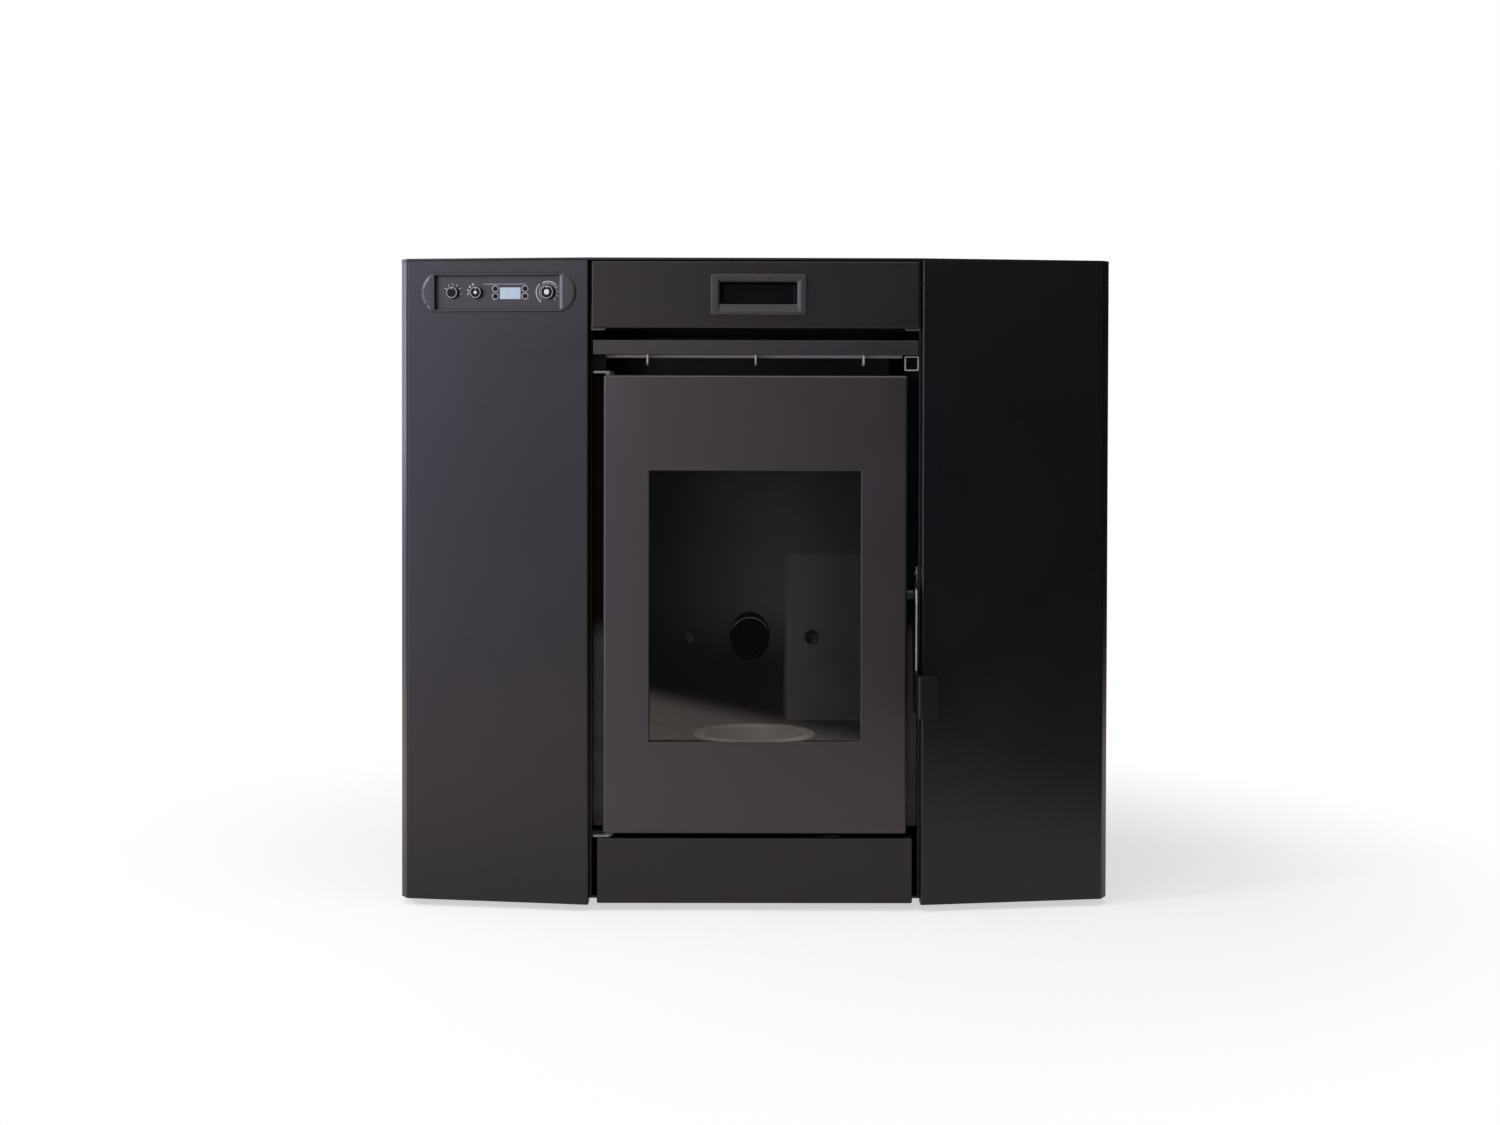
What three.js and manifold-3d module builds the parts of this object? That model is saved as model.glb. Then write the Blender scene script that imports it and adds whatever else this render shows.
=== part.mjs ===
// Pellet stove with a swept steel casing, a glazed fire door on pintle hinges, a pellet drawer
// over it and an ash drawer under it. Millimetres, +Z up, front towards -Y. The origin is on the
// floor, under the middle of the stove's bounding box.
import * as THREE from 'three';
import { mergeVertices } from 'three/addons/utils/BufferGeometryUtils.js';
import { ConvexGeometry } from 'three/addons/geometries/ConvexGeometry.js';
import Module from 'manifold-3d';

// ---- driving dimensions -------------------------------------------------------------------
// casing
const bodyWidth = 900;
const bodyHeight = 820;
const bodyDepth = 520; // from the front plane of the opening to the back
const floorGap = 9; // casing above the floor
const sheet = 2;
const coverThickness = 3;
const baseThickness = 3;
const clearance = 0.3; // between pieces that touch
const openingWidth = 417; // between the two wings
const wingSweep = 35; // how far a wing's outer edge lies behind its inner edge
const cornerAcross = 9;
const cornerBack = 15;
const innerFlange = 24;
const rearReturn = 18;
const chassisSetback = 25; // chassis sides and base behind the front plane

// fronts, from the top cover down
const frontGap = 1;
const drawerFrontHeight = 84;
const drawerFrontDepth = 22;
const drawerSideGap = 0.9;
const upperSlot = 14.5;
const barHeight = 18.5;
const barDepth = 30;
const barSetback = 6;
const barSideGap = 2.7;
const lowerSlot = 25.5;
const doorDepth = 42;
const doorSideGap = 15.7;
const doorBottomGap = 6;
const ashFrontHeight = 82.5;
const ashFrontDepth = 16;
const ashFrontSetback = 4;
const ashSideGap = 8;

// outlet bar: its lower lip, the fins under it and the tabs that hold its ends
const barLip = 24;
const finThickness = 2.5;
const finDrop = 13;
const finDepth = 28;
const finSpacing = 135.5;
const tabWidth = 18;
const tabDrop = 19;
const tabSetback = 14;
const tabLap = 12; // along the chassis side

// pellet drawer
const gripOffset = 3.6; // the grip sits a little right of the middle
const gripWidth = 120;
const gripHeight = 51;
const gripProud = 3;
const gripDepth = 17;
const gripOpeningWidth = 97;
const gripOpeningHeight = 30;
const gripBorderTop = 9;
const gripWall = 4;
const gripLipSlope = 6; // the opening's lower lip falls away towards the front
const gripLipRise = 2;
const traySheet = 1.5;
const trayHeight = 72;
const trayLength = 460;
const trayOutletLength = 120;
const runnerThickness = 2.2;
const runnerHeight = 30;
const runnerLedge = 18;
const runnerBehind = 10; // runner beyond the tray
const trayRearLip = 12;
const trayOutletEdge = 12;

// fire door
const doorSheet = 3;
const doorEdgeRadius = 3;
const windowWidth = 265;
const windowHeight = 340;
const windowBottom = 115.5; // above the door's bottom edge
const gasketThickness = 2.7;
const glassThickness = 4;
const glassLap = 13;
const sealWidth = 9;
const sealGrooveDepth = 6;
const sealProud = 2.7;
const sealLap = 9; // seal outside the firebox's mouth

// hinges
const hingeInset = 7.5; // hinge axis from the door's edge
const hingeSetback = 12; // hinge axis behind the front plane
const hingePlateThickness = 3;
const hingePlateDepth = 32;
const hingePlateRim = 2; // plate beyond the pin, sideways
const hingePlateLead = 4; // plate ahead of the pin
const hingeWasherGap = 2;
const hingePinRadius = 4;
const hingePinReach = 12;
const hingeHoleRadius = 4.7;

// handle
const leverGap = 9;
const leverThickness = 3;
const leverPivotHeight = 299.5; // above the door's bottom edge
const leverPivotSetback = 14;
const leverPivotRadius = 4;
const leverFront = 13; // lever's front edge ahead of the front plane
const leverBack = 30;
const leverNoseBack = 36;
const leverNoseUp = 17;
const leverNoseDrop = 6; // the nose's underside below the pivot
const leverNeck = 14; // the neck's start below the pivot
const leverFrontDrop = 8;
const leverTopSetback = 6;
const gripPlateBack = 22; // of the front plane
const gripPlateReach = 60; // grip's front face ahead of the front plane
const gripPlateWidth = 22;
const gripPlateTop = 94; // below the pivot
const gripPlateHeight = 52;
const screwHead = 2.5; // beyond the pivot's radius
const screwHeadHeight = 1.9;
const screwShoulder = 4;
const keeperThickness = 2.3;
const keeperRise = 4; // above the pivot
const keeperHeight = 30;
const keeperDepth = 18;

// firebox
const fireboxWidth = 324;
const fireboxWall = 3;
const fireboxDepth = 280; // behind the frame face
const frameFaceGap = 3; // frame face behind the closed door
const fireboxLip = 12;
const fireboxBelowTop = 8.5;
const fireboxAboveBottom = 9.5;
const fireboxFrameInset = 1.5;
const fireboxOpeningRise = 17;
const fireboxOpeningDrop = 15;
const shelfHeight = 88.7; // hearth shelf's underside above the firebox floor
const fluePassage = 21; // between the fireback plate and the rear wall
const firebackThickness = 4;
const firebackHeight = 390;
const boltHead = 15;
const boltHeadHeight = 6;
const boltSpacing = 170;
const chuteOffset = -5;
const chuteHeight = 116.3; // above the hearth shelf's top
const chuteBore = 28;
const chuteWall = 2;
const chuteSlope = THREE.MathUtils.degToRad(37);
const baffleThickness = 4;
const baffleDrop = 65; // below the firebox top
const baffleDepth = 190;

// burn pot and igniter
const potSetback = 150; // centre behind the front plane
const potRimRadius = 81;
const potRadius = 70;
const potWall = 6;
const potDepth = 60;
const potRimHeight = 6;
const potDishEdge = 8;
const potSocketGap = 2; // burn pot in the shelf's hole
const ashHoleHalf = 110;
const ashHoleFront = 70; // ahead of the pot's centre
const ashHoleBack = 80;
const igniterRadius = 5;
const igniterFlange = 4;
const igniterHeight = 62; // above the firebox floor

// hopper and auger
const hopperWidth = 380;
const hopperDepth = 170;
const hopperSheet = 2;
const hopperRearGap = 10;
const hopperDropBelowRunner = 6;
const hopperRim = 8;
const hopperStraight = 100;
const hopperMouthWidth = 44;
const hopperMouthDepth = 46;
const augerSetback = 75; // axis behind the firebox's rear wall
const augerSlope = THREE.MathUtils.degToRad(30);
const augerLength = 180;
const augerEnd = new THREE.Vector2(-35, 107); // upper end from the chute mouth
const augerBore = 29;
const augerWall = 3;
const augerRunningGap = 3;
const screwShaft = 8;
const screwPitch = 42;
const screwFlight = 2.5;
const hopperMouthOffset = 122; // from the auger's upper end
const mouthRise = 58; // hopper mouth above the auger axis
const gearboxSize = 64;
const gearboxLength = 40;
const gearMotorRadius = 26;
const gearMotorLength = 36;

// exhaust fan, flue and combustion air
const exhaustOffset = -80;
const exhaustHeight = 121; // above the casing's underside
const exhaustDepth = 60;
const exhaustRadius = 65;
const exhaustWall = 3;
const exhaustInlet = 30;
const exhaustWheelRadius = 54;
const exhaustWheelDepth = 34;
const exhaustShaft = 4;
const exhaustMotorRadius = 30;
const exhaustMotorLength = 62;
const outletBoxHalf = 42;
const flueOffset = -155;
const flueHeight = 91;
const flueRadius = 40;
const flueWall = 2;
const spigotReach = 40; // behind the casing
const airOffset = 120;
const airHeight = 156;
const airRadius = 25;
const airWall = 2;

// room fan
const roomFanOffset = 110;
const roomFanWidth = 150;
const roomFanSetback = 400;
const roomFanAxis = 56; // above the base plate
const roomWheelRadius = 32;
const roomWheelGap = 4;
const roomFanWall = 3;
const roomFanShaft = 4;
const bladeCount = 12;

// ash drawer
const ashBoxWidth = 300;
const ashBoxHeight = 72;
const ashBoxLength = 280;
const ashBoxSheet = 2;

// feet
const footRadius = 20;
const footPad = 5;
const footStem = 5;
const footInset = new THREE.Vector2(60, 70);

// control panel, in the plane of the left wing's front
const panelCentre = -323;
const panelDrop = 43; // centre below the stove's top
const bezelWidth = 200;
const bezelHeight = 49.5;
const bezelEndRise = 17;
const bezelProud = 2.1;
const recessWidth = 165;
const recessHeight = 43;
const recessDepth = 5;
const panelFloor = 3;
const boardGap = 4;
const boardThickness = 1.6;
const boardInset = 3;
const boardRiseInset = 2;
const postInset = 5;
const postRadius = 2.5;
const potBlock = { left: -70, right: -10, depth: 14, rise: 14 };
const driverBlock = { left: 20, right: 60, depth: 10, rise: 12 };
const displayWidth = 27;
const displayHeight = 15;
const displayOffset = 13.7;
const displayDrop = 1;
const displayFlange = 2;
const buttonSize = 4.6;
const buttonDepth = 5.6;
const buttonTravel = 1;
const buttonProud = 0.6; // of the panel's floor when pressed in
const buttonColumns = { left: -5.7, right: 32.9 };
const buttonRows = { upper: 4.7, lower: -4.7 };
const knobs = {
  knob_mode: { offset: -60.8, radius: 7.5, height: 5.4 },
  knob_fan: { offset: -29.8, radius: 7.5, height: 6 },
  knob_heat: { offset: 62.3, radius: 8.5, height: 6.4 },
};
const knobShaft = 3;

// mains inlet
const inletInset = 120; // centre from the casing's side
const inletHeight = 90;
const inletWidth = 50;
const inletFlangeHeight = 62;
const inletDepth = 26;
const inletFlange = 3;
const inletLap = 3; // flange over the panel at each side
const inletLapRise = 4;
const socketHalf = 14;
const socketRise = 10;
const socketDepth = 18;
const socketDrop = 11; // below the flange's middle
const socketPins = [-7, 0, 7];
const rockerUp = 16; // above the flange's middle
const rockerWell = 10;
const rockerWidth = 13;
const rockerHeight = 20;
const rockerSeat = 2; // pivot behind the flange's face
const rockerTilt = THREE.MathUtils.degToRad(8);

const roundSteps = 24;

// room air louvres in the rear panel
const louvreCount = 6;
const louvrePitch = 14;
const louvreHeight = 6;
const louvreRise = 16; // first louvre above the base plate
const louvreHalf = 60;

// ---- places that follow from the dimensions -----------------------------------------------
const openingHalf = openingWidth / 2;
const chassisOuter = openingHalf - clearance;
const chassisInner = chassisOuter - sheet;
const casingTop = bodyHeight - coverThickness;
const baseBottom = floorGap + baseThickness;
const baseTop = baseBottom + baseThickness;

const drawerTop = casingTop - frontGap;
const drawerBottom = drawerTop - drawerFrontHeight;
const barTop = drawerBottom - upperSlot;
const barBottom = barTop - barHeight;
const doorTop = barBottom - lowerSlot;
const ashBottom = floorGap + frontGap;
const ashTop = ashBottom + ashFrontHeight;
const doorBottom = ashTop + doorBottomGap;
const doorHalf = chassisInner - doorSideGap;

const frameFace = doorDepth + frameFaceGap;
const fireboxTop = doorTop - fireboxBelowTop;
const fireboxBottom = doorBottom + fireboxAboveBottom;
const fireboxHalf = fireboxWidth / 2;
const fireboxInner = fireboxHalf - fireboxWall;
const fireboxBack = frameFace + fireboxDepth + fireboxWall;
const rearWallFront = fireboxBack - fireboxWall;
const fireOpening = {
  half: fireboxHalf - fireboxLip,
  bottom: fireboxBottom + fireboxOpeningRise,
  top: fireboxTop - fireboxOpeningDrop,
};
const shelfTop = fireboxBottom + shelfHeight;
const firebackFront = rearWallFront - fluePassage - firebackThickness;
const chuteMouth = new THREE.Vector3(chuteOffset, firebackFront, shelfTop + chuteHeight);
const chuteWay = new THREE.Vector3(0, Math.cos(chuteSlope), Math.sin(chuteSlope));

const augerAxisY = fireboxBack + augerSetback;
const augerTop = new THREE.Vector3(
  chuteMouth.x + augerEnd.x,
  augerAxisY,
  chuteMouth.z + augerEnd.y,
);
const augerWay = new THREE.Vector3(Math.cos(augerSlope), 0, -Math.sin(augerSlope));
const augerOuter = augerBore + augerWall;
const mouthX = augerTop.x + hopperMouthOffset;
const mouthZ = augerTop.z - hopperMouthOffset * Math.tan(augerSlope) + mouthRise;

const rearPanelBack = bodyDepth - sheet - clearance;
const rearPanelFront = rearPanelBack - sheet;
const runnerTop = drawerBottom - clearance;
const hopperTop = runnerTop - runnerThickness - hopperDropBelowRunner;
const hopperBackY = rearPanelFront - hopperRearGap;
const hopperFrontY = hopperBackY - hopperDepth;

const inletOffset = bodyWidth / 2 - inletInset;
const hinge = { x: -doorHalf + hingeInset, y: hingeSetback };
const leverX = doorHalf + leverGap;
const leverPivot = { y: leverPivotSetback, z: doorBottom + leverPivotHeight };

// ---- shapes -------------------------------------------------------------------------------
const wasm = await Module();
wasm.setup();

// Joins shared vertices and drops what has collapsed to a line.
function welded(geometry) {
  const bare = geometry.clone();
  for (const name of Object.keys(bare.attributes)) {
    if (name !== 'position') bare.deleteAttribute(name);
  }
  const merged = mergeVertices(bare, 1e-4);
  const corners = merged.index.array;
  const kept = [];
  for (let i = 0; i < corners.length; i += 3) {
    const [a, b, c] = [corners[i], corners[i + 1], corners[i + 2]];
    if (a !== b && b !== c && c !== a) kept.push(a, b, c);
  }
  merged.setIndex(kept);
  return merged;
}

function solidOf(geometry) {
  const mesh = welded(geometry);
  return new wasm.Manifold(new wasm.Mesh({
    numProp: 3,
    vertProperties: new Float32Array(mesh.attributes.position.array),
    triVerts: new Uint32Array(mesh.index.array),
  }));
}

function geometryOf(solid) {
  const mesh = solid.getMesh();
  const geometry = new THREE.BufferGeometry();
  geometry.setAttribute('position', new THREE.BufferAttribute(mesh.vertProperties, 3));
  geometry.setIndex(new THREE.BufferAttribute(mesh.triVerts, 1));
  geometry.computeVertexNormals();
  return geometry;
}

function join(...pieces) {
  return geometryOf(pieces.map(solidOf).reduce((sum, piece) => sum.add(piece)));
}

function cut(body, ...tools) {
  return geometryOf(tools.map(solidOf).reduce((rest, tool) => rest.subtract(tool), solidOf(body)));
}

// A box between two limits along each axis.
function block([x0, x1], [y0, y1], [z0, z1]) {
  const box = new THREE.BoxGeometry(x1 - x0, y1 - y0, z1 - z0);
  return box.translate((x0 + x1) / 2, (y0 + y1) / 2, (z0 + z1) / 2);
}

// A box that is centred across the stove.
function middleBlock(half, y, z) {
  return block([-half, half], y, z);
}

function extruded(outline, length) {
  const shape = outline instanceof THREE.Shape ? outline : new THREE.Shape(outline);
  return new THREE.ExtrudeGeometry(shape, { depth: length, bevelEnabled: false, curveSegments: 4 });
}

// A plan outline raised along Z.
function raised(outline, [z0, z1]) {
  return extruded(outline, z1 - z0).translate(0, 0, z0);
}

// A front outline (x, z) drawn out along Y.
function deepened(outline, [y0, y1]) {
  return extruded(outline, y1 - y0).rotateX(Math.PI / 2).translate(0, y1, 0);
}

// A side outline (y, z) drawn out along X.
function widened(outline, [x0, x1]) {
  const turn = new THREE.Matrix4().makeBasis(
    new THREE.Vector3(0, 1, 0),
    new THREE.Vector3(0, 0, 1),
    new THREE.Vector3(1, 0, 0),
  );
  return extruded(outline, x1 - x0).applyMatrix4(turn).translate(x0, 0, 0);
}

// A body of revolution from [radius, distance] pairs, listed anticlockwise, along an axis.
function turned(profile, way, at, steps = roundSteps) {
  const points = profile.map(([radius, along]) => new THREE.Vector2(radius, along));
  const last = points[points.length - 1];
  if (points[0].x > 0 || last.x > 0) points.push(points[0].clone());
  const geometry = new THREE.LatheGeometry(points, steps);
  const turn = new THREE.Quaternion().setFromUnitVectors(new THREE.Vector3(0, 1, 0), way);
  return geometry.applyQuaternion(turn).translate(at.x, at.y, at.z);
}

const alongX = new THREE.Vector3(1, 0, 0);
const alongY = new THREE.Vector3(0, 1, 0);
const alongZ = new THREE.Vector3(0, 0, 1);
const spot = (x, y, z) => new THREE.Vector3(x, y, z);

function rod(radius, [from, to], way, at, steps) {
  return turned([[0, from], [radius, from], [radius, to], [0, to]], way, at, steps);
}

// A rod that cuts a hole: its flats, not its corners, lie at the radius.
function borer(radius, span, way, at, steps = roundSteps) {
  return rod(radius / Math.cos(Math.PI / steps), span, way, at, steps);
}

function pipe(outer, inner, [from, to], way, at, steps = roundSteps) {
  const bore = inner / Math.cos(Math.PI / steps);
  return turned([[outer, from], [outer, to], [bore, to], [bore, from]], way, at, steps);
}

function rectangle(halfWidth, bottom, top, radius = 0) {
  const shape = new THREE.Shape();
  if (radius === 0) {
    shape.moveTo(-halfWidth, bottom);
    shape.lineTo(halfWidth, bottom);
    shape.lineTo(halfWidth, top);
    shape.lineTo(-halfWidth, top);
    return shape;
  }
  shape.absarc(halfWidth - radius, bottom + radius, radius, -Math.PI / 2, 0);
  shape.absarc(halfWidth - radius, top - radius, radius, 0, Math.PI / 2);
  shape.absarc(-halfWidth + radius, top - radius, radius, Math.PI / 2, Math.PI);
  shape.absarc(-halfWidth + radius, bottom + radius, radius, Math.PI, Math.PI * 1.5);
  return shape;
}

// A path moved to its left by a distance, its corners mitred.
function offsetPath(path, distance) {
  return path.map((point, i) => {
    const into = i > 0 ? point.clone().sub(path[i - 1]).normalize() : null;
    const out = i < path.length - 1 ? path[i + 1].clone().sub(point).normalize() : null;
    const before = into ?? out;
    const after = out ?? into;
    const normal = new THREE.Vector2(-before.y - after.y, before.x + after.x).normalize();
    const reach = distance / (normal.x * -before.y + normal.y * before.x);
    return point.clone().addScaledVector(normal, reach);
  });
}

// The section of a sheet folded along a path, its thickness on the path's left.
function foldedSheet(corners, thickness) {
  const path = corners.map(([a, b]) => new THREE.Vector2(a, b));
  return [...path, ...offsetPath(path, thickness).reverse()];
}

function mirrored(geometry) {
  const copy = welded(geometry.clone().scale(-1, 1, 1));
  const corners = copy.index.array;
  for (let i = 0; i < corners.length; i += 3) {
    [corners[i], corners[i + 1]] = [corners[i + 1], corners[i]];
  }
  copy.computeVertexNormals();
  return copy;
}

// ---- finishes -----------------------------------------------------------------------------
function finish(color, roughness, metalness) {
  return new THREE.MeshStandardMaterial({ color, roughness, metalness });
}

const powderCoat = finish(0x3b383d, 0.55, 0.2);
const doorPaint = finish(0x454146, 0.5, 0.3);
const blackSteel = finish(0x1c1b1d, 0.7, 0.3);
const castIron = finish(0x2a2827, 0.8, 0.4);
const zincSteel = finish(0x9b9da0, 0.4, 0.9);
const stainless = finish(0xb5b3ae, 0.3, 1);
const heatGlass = new THREE.MeshStandardMaterial({
  color: 0x1a1a1a,
  roughness: 0.05,
  transparent: true,
  opacity: 0.4,
});
const rope = finish(0xcfc8b8, 0.95, 0);
const blackPlastic = finish(0x242326, 0.5, 0);
const displayGlass = finish(0xa9c3d9, 0.2, 0);
const circuitGreen = finish(0x20553a, 0.6, 0.1);
const rubber = finish(0x181818, 0.9, 0);

const stove = new THREE.Group();
const model = new THREE.Group();
stove.add(model);

function place(name, geometry, material, parent = model) {
  const mesh = new THREE.Mesh(welded(geometry), material);
  mesh.geometry.computeVertexNormals();
  mesh.name = name;
  parent.add(mesh);
  return mesh;
}

// ---- casing -------------------------------------------------------------------------------
const half = bodyWidth / 2;
const wingFold = [
  [openingHalf, innerFlange],
  [openingHalf, 0],
  [half - cornerAcross, wingSweep],
  [half, wingSweep + cornerBack],
  [half, bodyDepth],
  [half - rearReturn, bodyDepth],
];

// The casing's plan, drawn in by a distance from the wings' outer faces.
function casingPlan(inset) {
  const corners = wingFold.slice(1, 5).map(([x, y]) => new THREE.Vector2(x, y));
  const across = corners.map((corner) => new THREE.Vector2(-corner.x, corner.y)).reverse();
  const round = [...across, ...corners, ...across.slice(0, 1)];
  const inner = offsetPath([corners[3], ...round, across[1]], inset).slice(1, -2);
  return inner;
}

// The front of the left wing, as a frame: X along the face, Y into the casing.
const faceAngle = Math.atan2(wingSweep, half - cornerAcross - openingHalf);
const panel = new THREE.Group();
const panelRun = (-openingHalf - panelCentre) * Math.tan(faceAngle);
panel.position.set(panelCentre, panelRun, bodyHeight - panelDrop);
panel.rotation.z = -faceAngle;
model.add(panel);
panel.updateMatrix();
const bodyHoleWidth = recessWidth + 2 * sheet;
const bodyHoleHeight = recessHeight + 1.5 * sheet;

function makeCasing() {
  const wingHeight = [floorGap, casingTop - clearance];
  const wing = raised(foldedSheet(wingFold, sheet), wingHeight);
  place('wing_right', wing, powderCoat);
  const holeHalf = bodyHoleWidth / 2 + clearance;
  const holeRise = bodyHoleHeight / 2 + clearance;
  const panelHole = block([-holeHalf, holeHalf], [-10, 20], [-holeRise, holeRise]);
  place('wing_left', cut(mirrored(wing), panelHole.applyMatrix4(panel.matrix)), powderCoat);

  place('top_cover', raised(casingPlan(0), [casingTop, bodyHeight]), powderCoat);

  const plate = raised(casingPlan(sheet + clearance), [baseBottom, baseTop]);
  const frontRecess = middleBlock(
    openingHalf + sheet + clearance,
    [-10, chassisSetback],
    [baseBottom - 1, baseTop + 1],
  );
  const behindRearPanel = middleBlock(half, [rearPanelBack, bodyDepth], [0, baseTop + 1]);
  place('base_plate', cut(plate, frontRecess, behindRearPanel), blackSteel);

  const side = [baseTop + clearance, casingTop - clearance];
  const chassis = block([chassisInner, chassisOuter], [chassisSetback, rearPanelFront - clearance], side);
  place('chassis_side_right', chassis, blackSteel);
  place('chassis_side_left', mirrored(chassis), blackSteel);
}

const flueCentre = spot(flueOffset, 0, floorGap + flueHeight);
const airCentre = spot(airOffset, 0, floorGap + airHeight);

function makeRearPanel() {
  const panelHalf = half - sheet - 2 * clearance;
  const plate = middleBlock(
    panelHalf,
    [rearPanelFront, rearPanelBack],
    [baseTop + clearance, casingTop - clearance],
  );
  const through = [rearPanelFront - 1, rearPanelBack + 1];
  const louvres = [];
  for (let i = 0; i < louvreCount; i += 1) {
    const z = baseTop + louvreRise + i * louvrePitch;
    const x = [roomFanOffset - louvreHalf, roomFanOffset + louvreHalf];
    louvres.push(block(x, through, [z, z + louvreHeight]));
  }
  const inletHalf = inletWidth / 2 - inletLap;
  const inletMiddle = floorGap + inletHeight;
  const inletRise = inletFlangeHeight / 2 - inletLapRise;
  const inletHole = block(
    [inletOffset - inletHalf, inletOffset + inletHalf],
    through,
    [inletMiddle - inletRise, inletMiddle + inletRise],
  );
  const holes = [
    borer(flueRadius + clearance, through, alongY, flueCentre),
    borer(airRadius + clearance, through, alongY, airCentre),
    inletHole,
    ...louvres,
  ];
  place('rear_panel', cut(plate, ...holes), blackSteel);
}

function makeFeet() {
  const profile = [
    [0, 0],
    [footRadius - 2, 0],
    [footRadius, 2],
    [footRadius, footPad],
    [footStem + 3, footPad],
    [footStem, footPad + 1],
    [footStem, baseBottom - clearance],
    [0, baseBottom - clearance],
  ];
  const places = {
    foot_front_left: [-1, wingSweep + footInset.y],
    foot_front_right: [1, wingSweep + footInset.y],
    foot_rear_left: [-1, bodyDepth - footInset.y],
    foot_rear_right: [1, bodyDepth - footInset.y],
  };
  for (const [name, [side, y]] of Object.entries(places)) {
    const at = spot(side * (half - footInset.x), y, 0);
    place(name, turned(profile, alongZ, at, 20), rubber);
  }
}

// ---- pellet drawer and outlet bar ---------------------------------------------------------
const drawerHalf = chassisInner - drawerSideGap;
const drawerMiddle = (drawerTop + drawerBottom) / 2;
const gripBodyHalf = gripOpeningWidth / 2 + gripWall;
const gripBottom = drawerMiddle - gripHeight / 2;
const gripOpeningTop = gripBottom + gripHeight - gripBorderTop;
const gripOpeningBottom = gripOpeningTop - gripOpeningHeight;

// A folded tray that is open at the back: front face at y0, rims reaching back to y1.
function pan(panHalf, [z0, z1], [y0, y1], wall, edge) {
  const outer = deepened(rectangle(panHalf, z0, z1, edge), [y0, y1]);
  const inner = middleBlock(panHalf - wall, [y0 + wall, y1 + 1], [z0 + wall, z1 - wall]);
  return cut(outer, inner);
}

function makeDrawer() {
  const front = pan(drawerHalf, [drawerBottom, drawerTop], [0, drawerFrontDepth], sheet, 1.5);
  const gripBody = [gripOpeningBottom - gripWall, gripOpeningTop + gripWall];
  const hole = block(
    [gripOffset - gripBodyHalf - clearance, gripOffset + gripBodyHalf + clearance],
    [-1, sheet + 1],
    [gripBody[0] - clearance, gripBody[1] + clearance],
  );
  place('pellet_drawer_front', cut(front, hole), powderCoat);

  const rim = deepened(
    rectangle(gripWidth / 2, gripBottom, gripBottom + gripHeight, 4),
    [-gripProud, -clearance],
  );
  const cup = middleBlock(gripBodyHalf, [-gripProud / 2, gripDepth], gripBody);
  const hollow = new ConvexGeometry([
    ...corners4(
      gripOpeningWidth / 2,
      -gripProud - 0.01,
      gripOpeningBottom - gripLipSlope,
      gripOpeningTop + gripLipRise,
    ),
    ...corners4(
      gripOpeningWidth / 2 - gripWall / 2,
      gripDepth - gripWall / 2,
      gripOpeningBottom,
      gripOpeningTop,
    ),
  ]);
  const grip = cut(join(rim, cup), hollow);
  place('drawer_grip', grip.translate(gripOffset, 0, 0), blackPlastic);

  const trayHalf = chassisInner - clearance - runnerThickness - clearance;
  const trayFront = drawerFrontDepth + clearance;
  const trayBack = trayFront + trayLength;
  const tray = middleBlock(trayHalf, [trayFront, trayBack], [drawerBottom, drawerBottom + trayHeight]);
  const bin = middleBlock(
    trayHalf - traySheet,
    [trayFront + traySheet, trayBack - traySheet],
    [drawerBottom + traySheet, drawerBottom + trayHeight + 1],
  );
  const outletBack = trayBack - trayRearLip;
  const outlet = middleBlock(
    hopperWidth / 2 - trayOutletEdge,
    [outletBack - trayOutletLength, outletBack],
    [drawerBottom - 1, drawerBottom + 5],
  );
  place('pellet_drawer_tray', cut(tray, bin, outlet), zincSteel);
}

// The four corners of a rectangle that stands across the stove at one depth.
function corners4(halfWidth, y, bottom, top) {
  return [
    spot(-halfWidth, y, bottom),
    spot(halfWidth, y, bottom),
    spot(halfWidth, y, top),
    spot(-halfWidth, y, top),
  ];
}

// The four corners of a level rectangle.
function level4([x0, x1], [y0, y1], z) {
  return [spot(x0, y0, z), spot(x1, y0, z), spot(x1, y1, z), spot(x0, y1, z)];
}

function makeRunners() {
  const outer = chassisInner - clearance;
  const back = drawerFrontDepth + trayLength + runnerBehind;
  const rail = block(
    [outer - runnerThickness, outer],
    [drawerFrontDepth + sheet, back],
    [runnerTop - runnerThickness, runnerTop + runnerHeight],
  );
  const ledge = block(
    [outer - runnerLedge, outer],
    [barSetback, back],
    [runnerTop - runnerThickness, runnerTop],
  );
  const runner = join(rail, ledge);
  place('drawer_runner_right', runner, zincSteel);
  place('drawer_runner_left', mirrored(runner), zincSteel);
}

function makeOutletBar() {
  const barHalf = chassisInner - barSideGap;
  const back = barSetback + barDepth;
  const channel = foldedSheet(
    [[back, barTop], [barSetback, barTop], [barSetback, barBottom], [barSetback + barLip, barBottom]],
    sheet,
  );
  const pieces = [widened(channel, [-barHalf, barHalf])];
  for (const step of [-1, 0, 1]) {
    const x = step * finSpacing;
    const finHalf = finThickness / 2;
    const fin = [x - finHalf, x + finHalf];
    const finY = [barSetback + sheet / 2, barSetback + finDepth];
    pieces.push(block(fin, finY, [barBottom - finDrop, barBottom + sheet / 2]));
  }
  const tabEnd = chassisInner - clearance;
  for (const side of [-1, 1]) {
    const reach = [side * (tabEnd - tabWidth), side * tabEnd].sort((a, b) => a - b);
    const tabZ = [barBottom - tabDrop, barBottom + sheet / 2];
    const foot = [side * (tabEnd - sheet), side * tabEnd].sort((a, b) => a - b);
    pieces.push(block(reach, [tabSetback, tabSetback + sheet], tabZ));
    pieces.push(block(foot, [tabSetback, chassisSetback + tabLap], tabZ));
  }
  place('outlet_bar', join(...pieces), powderCoat);
}

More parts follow.
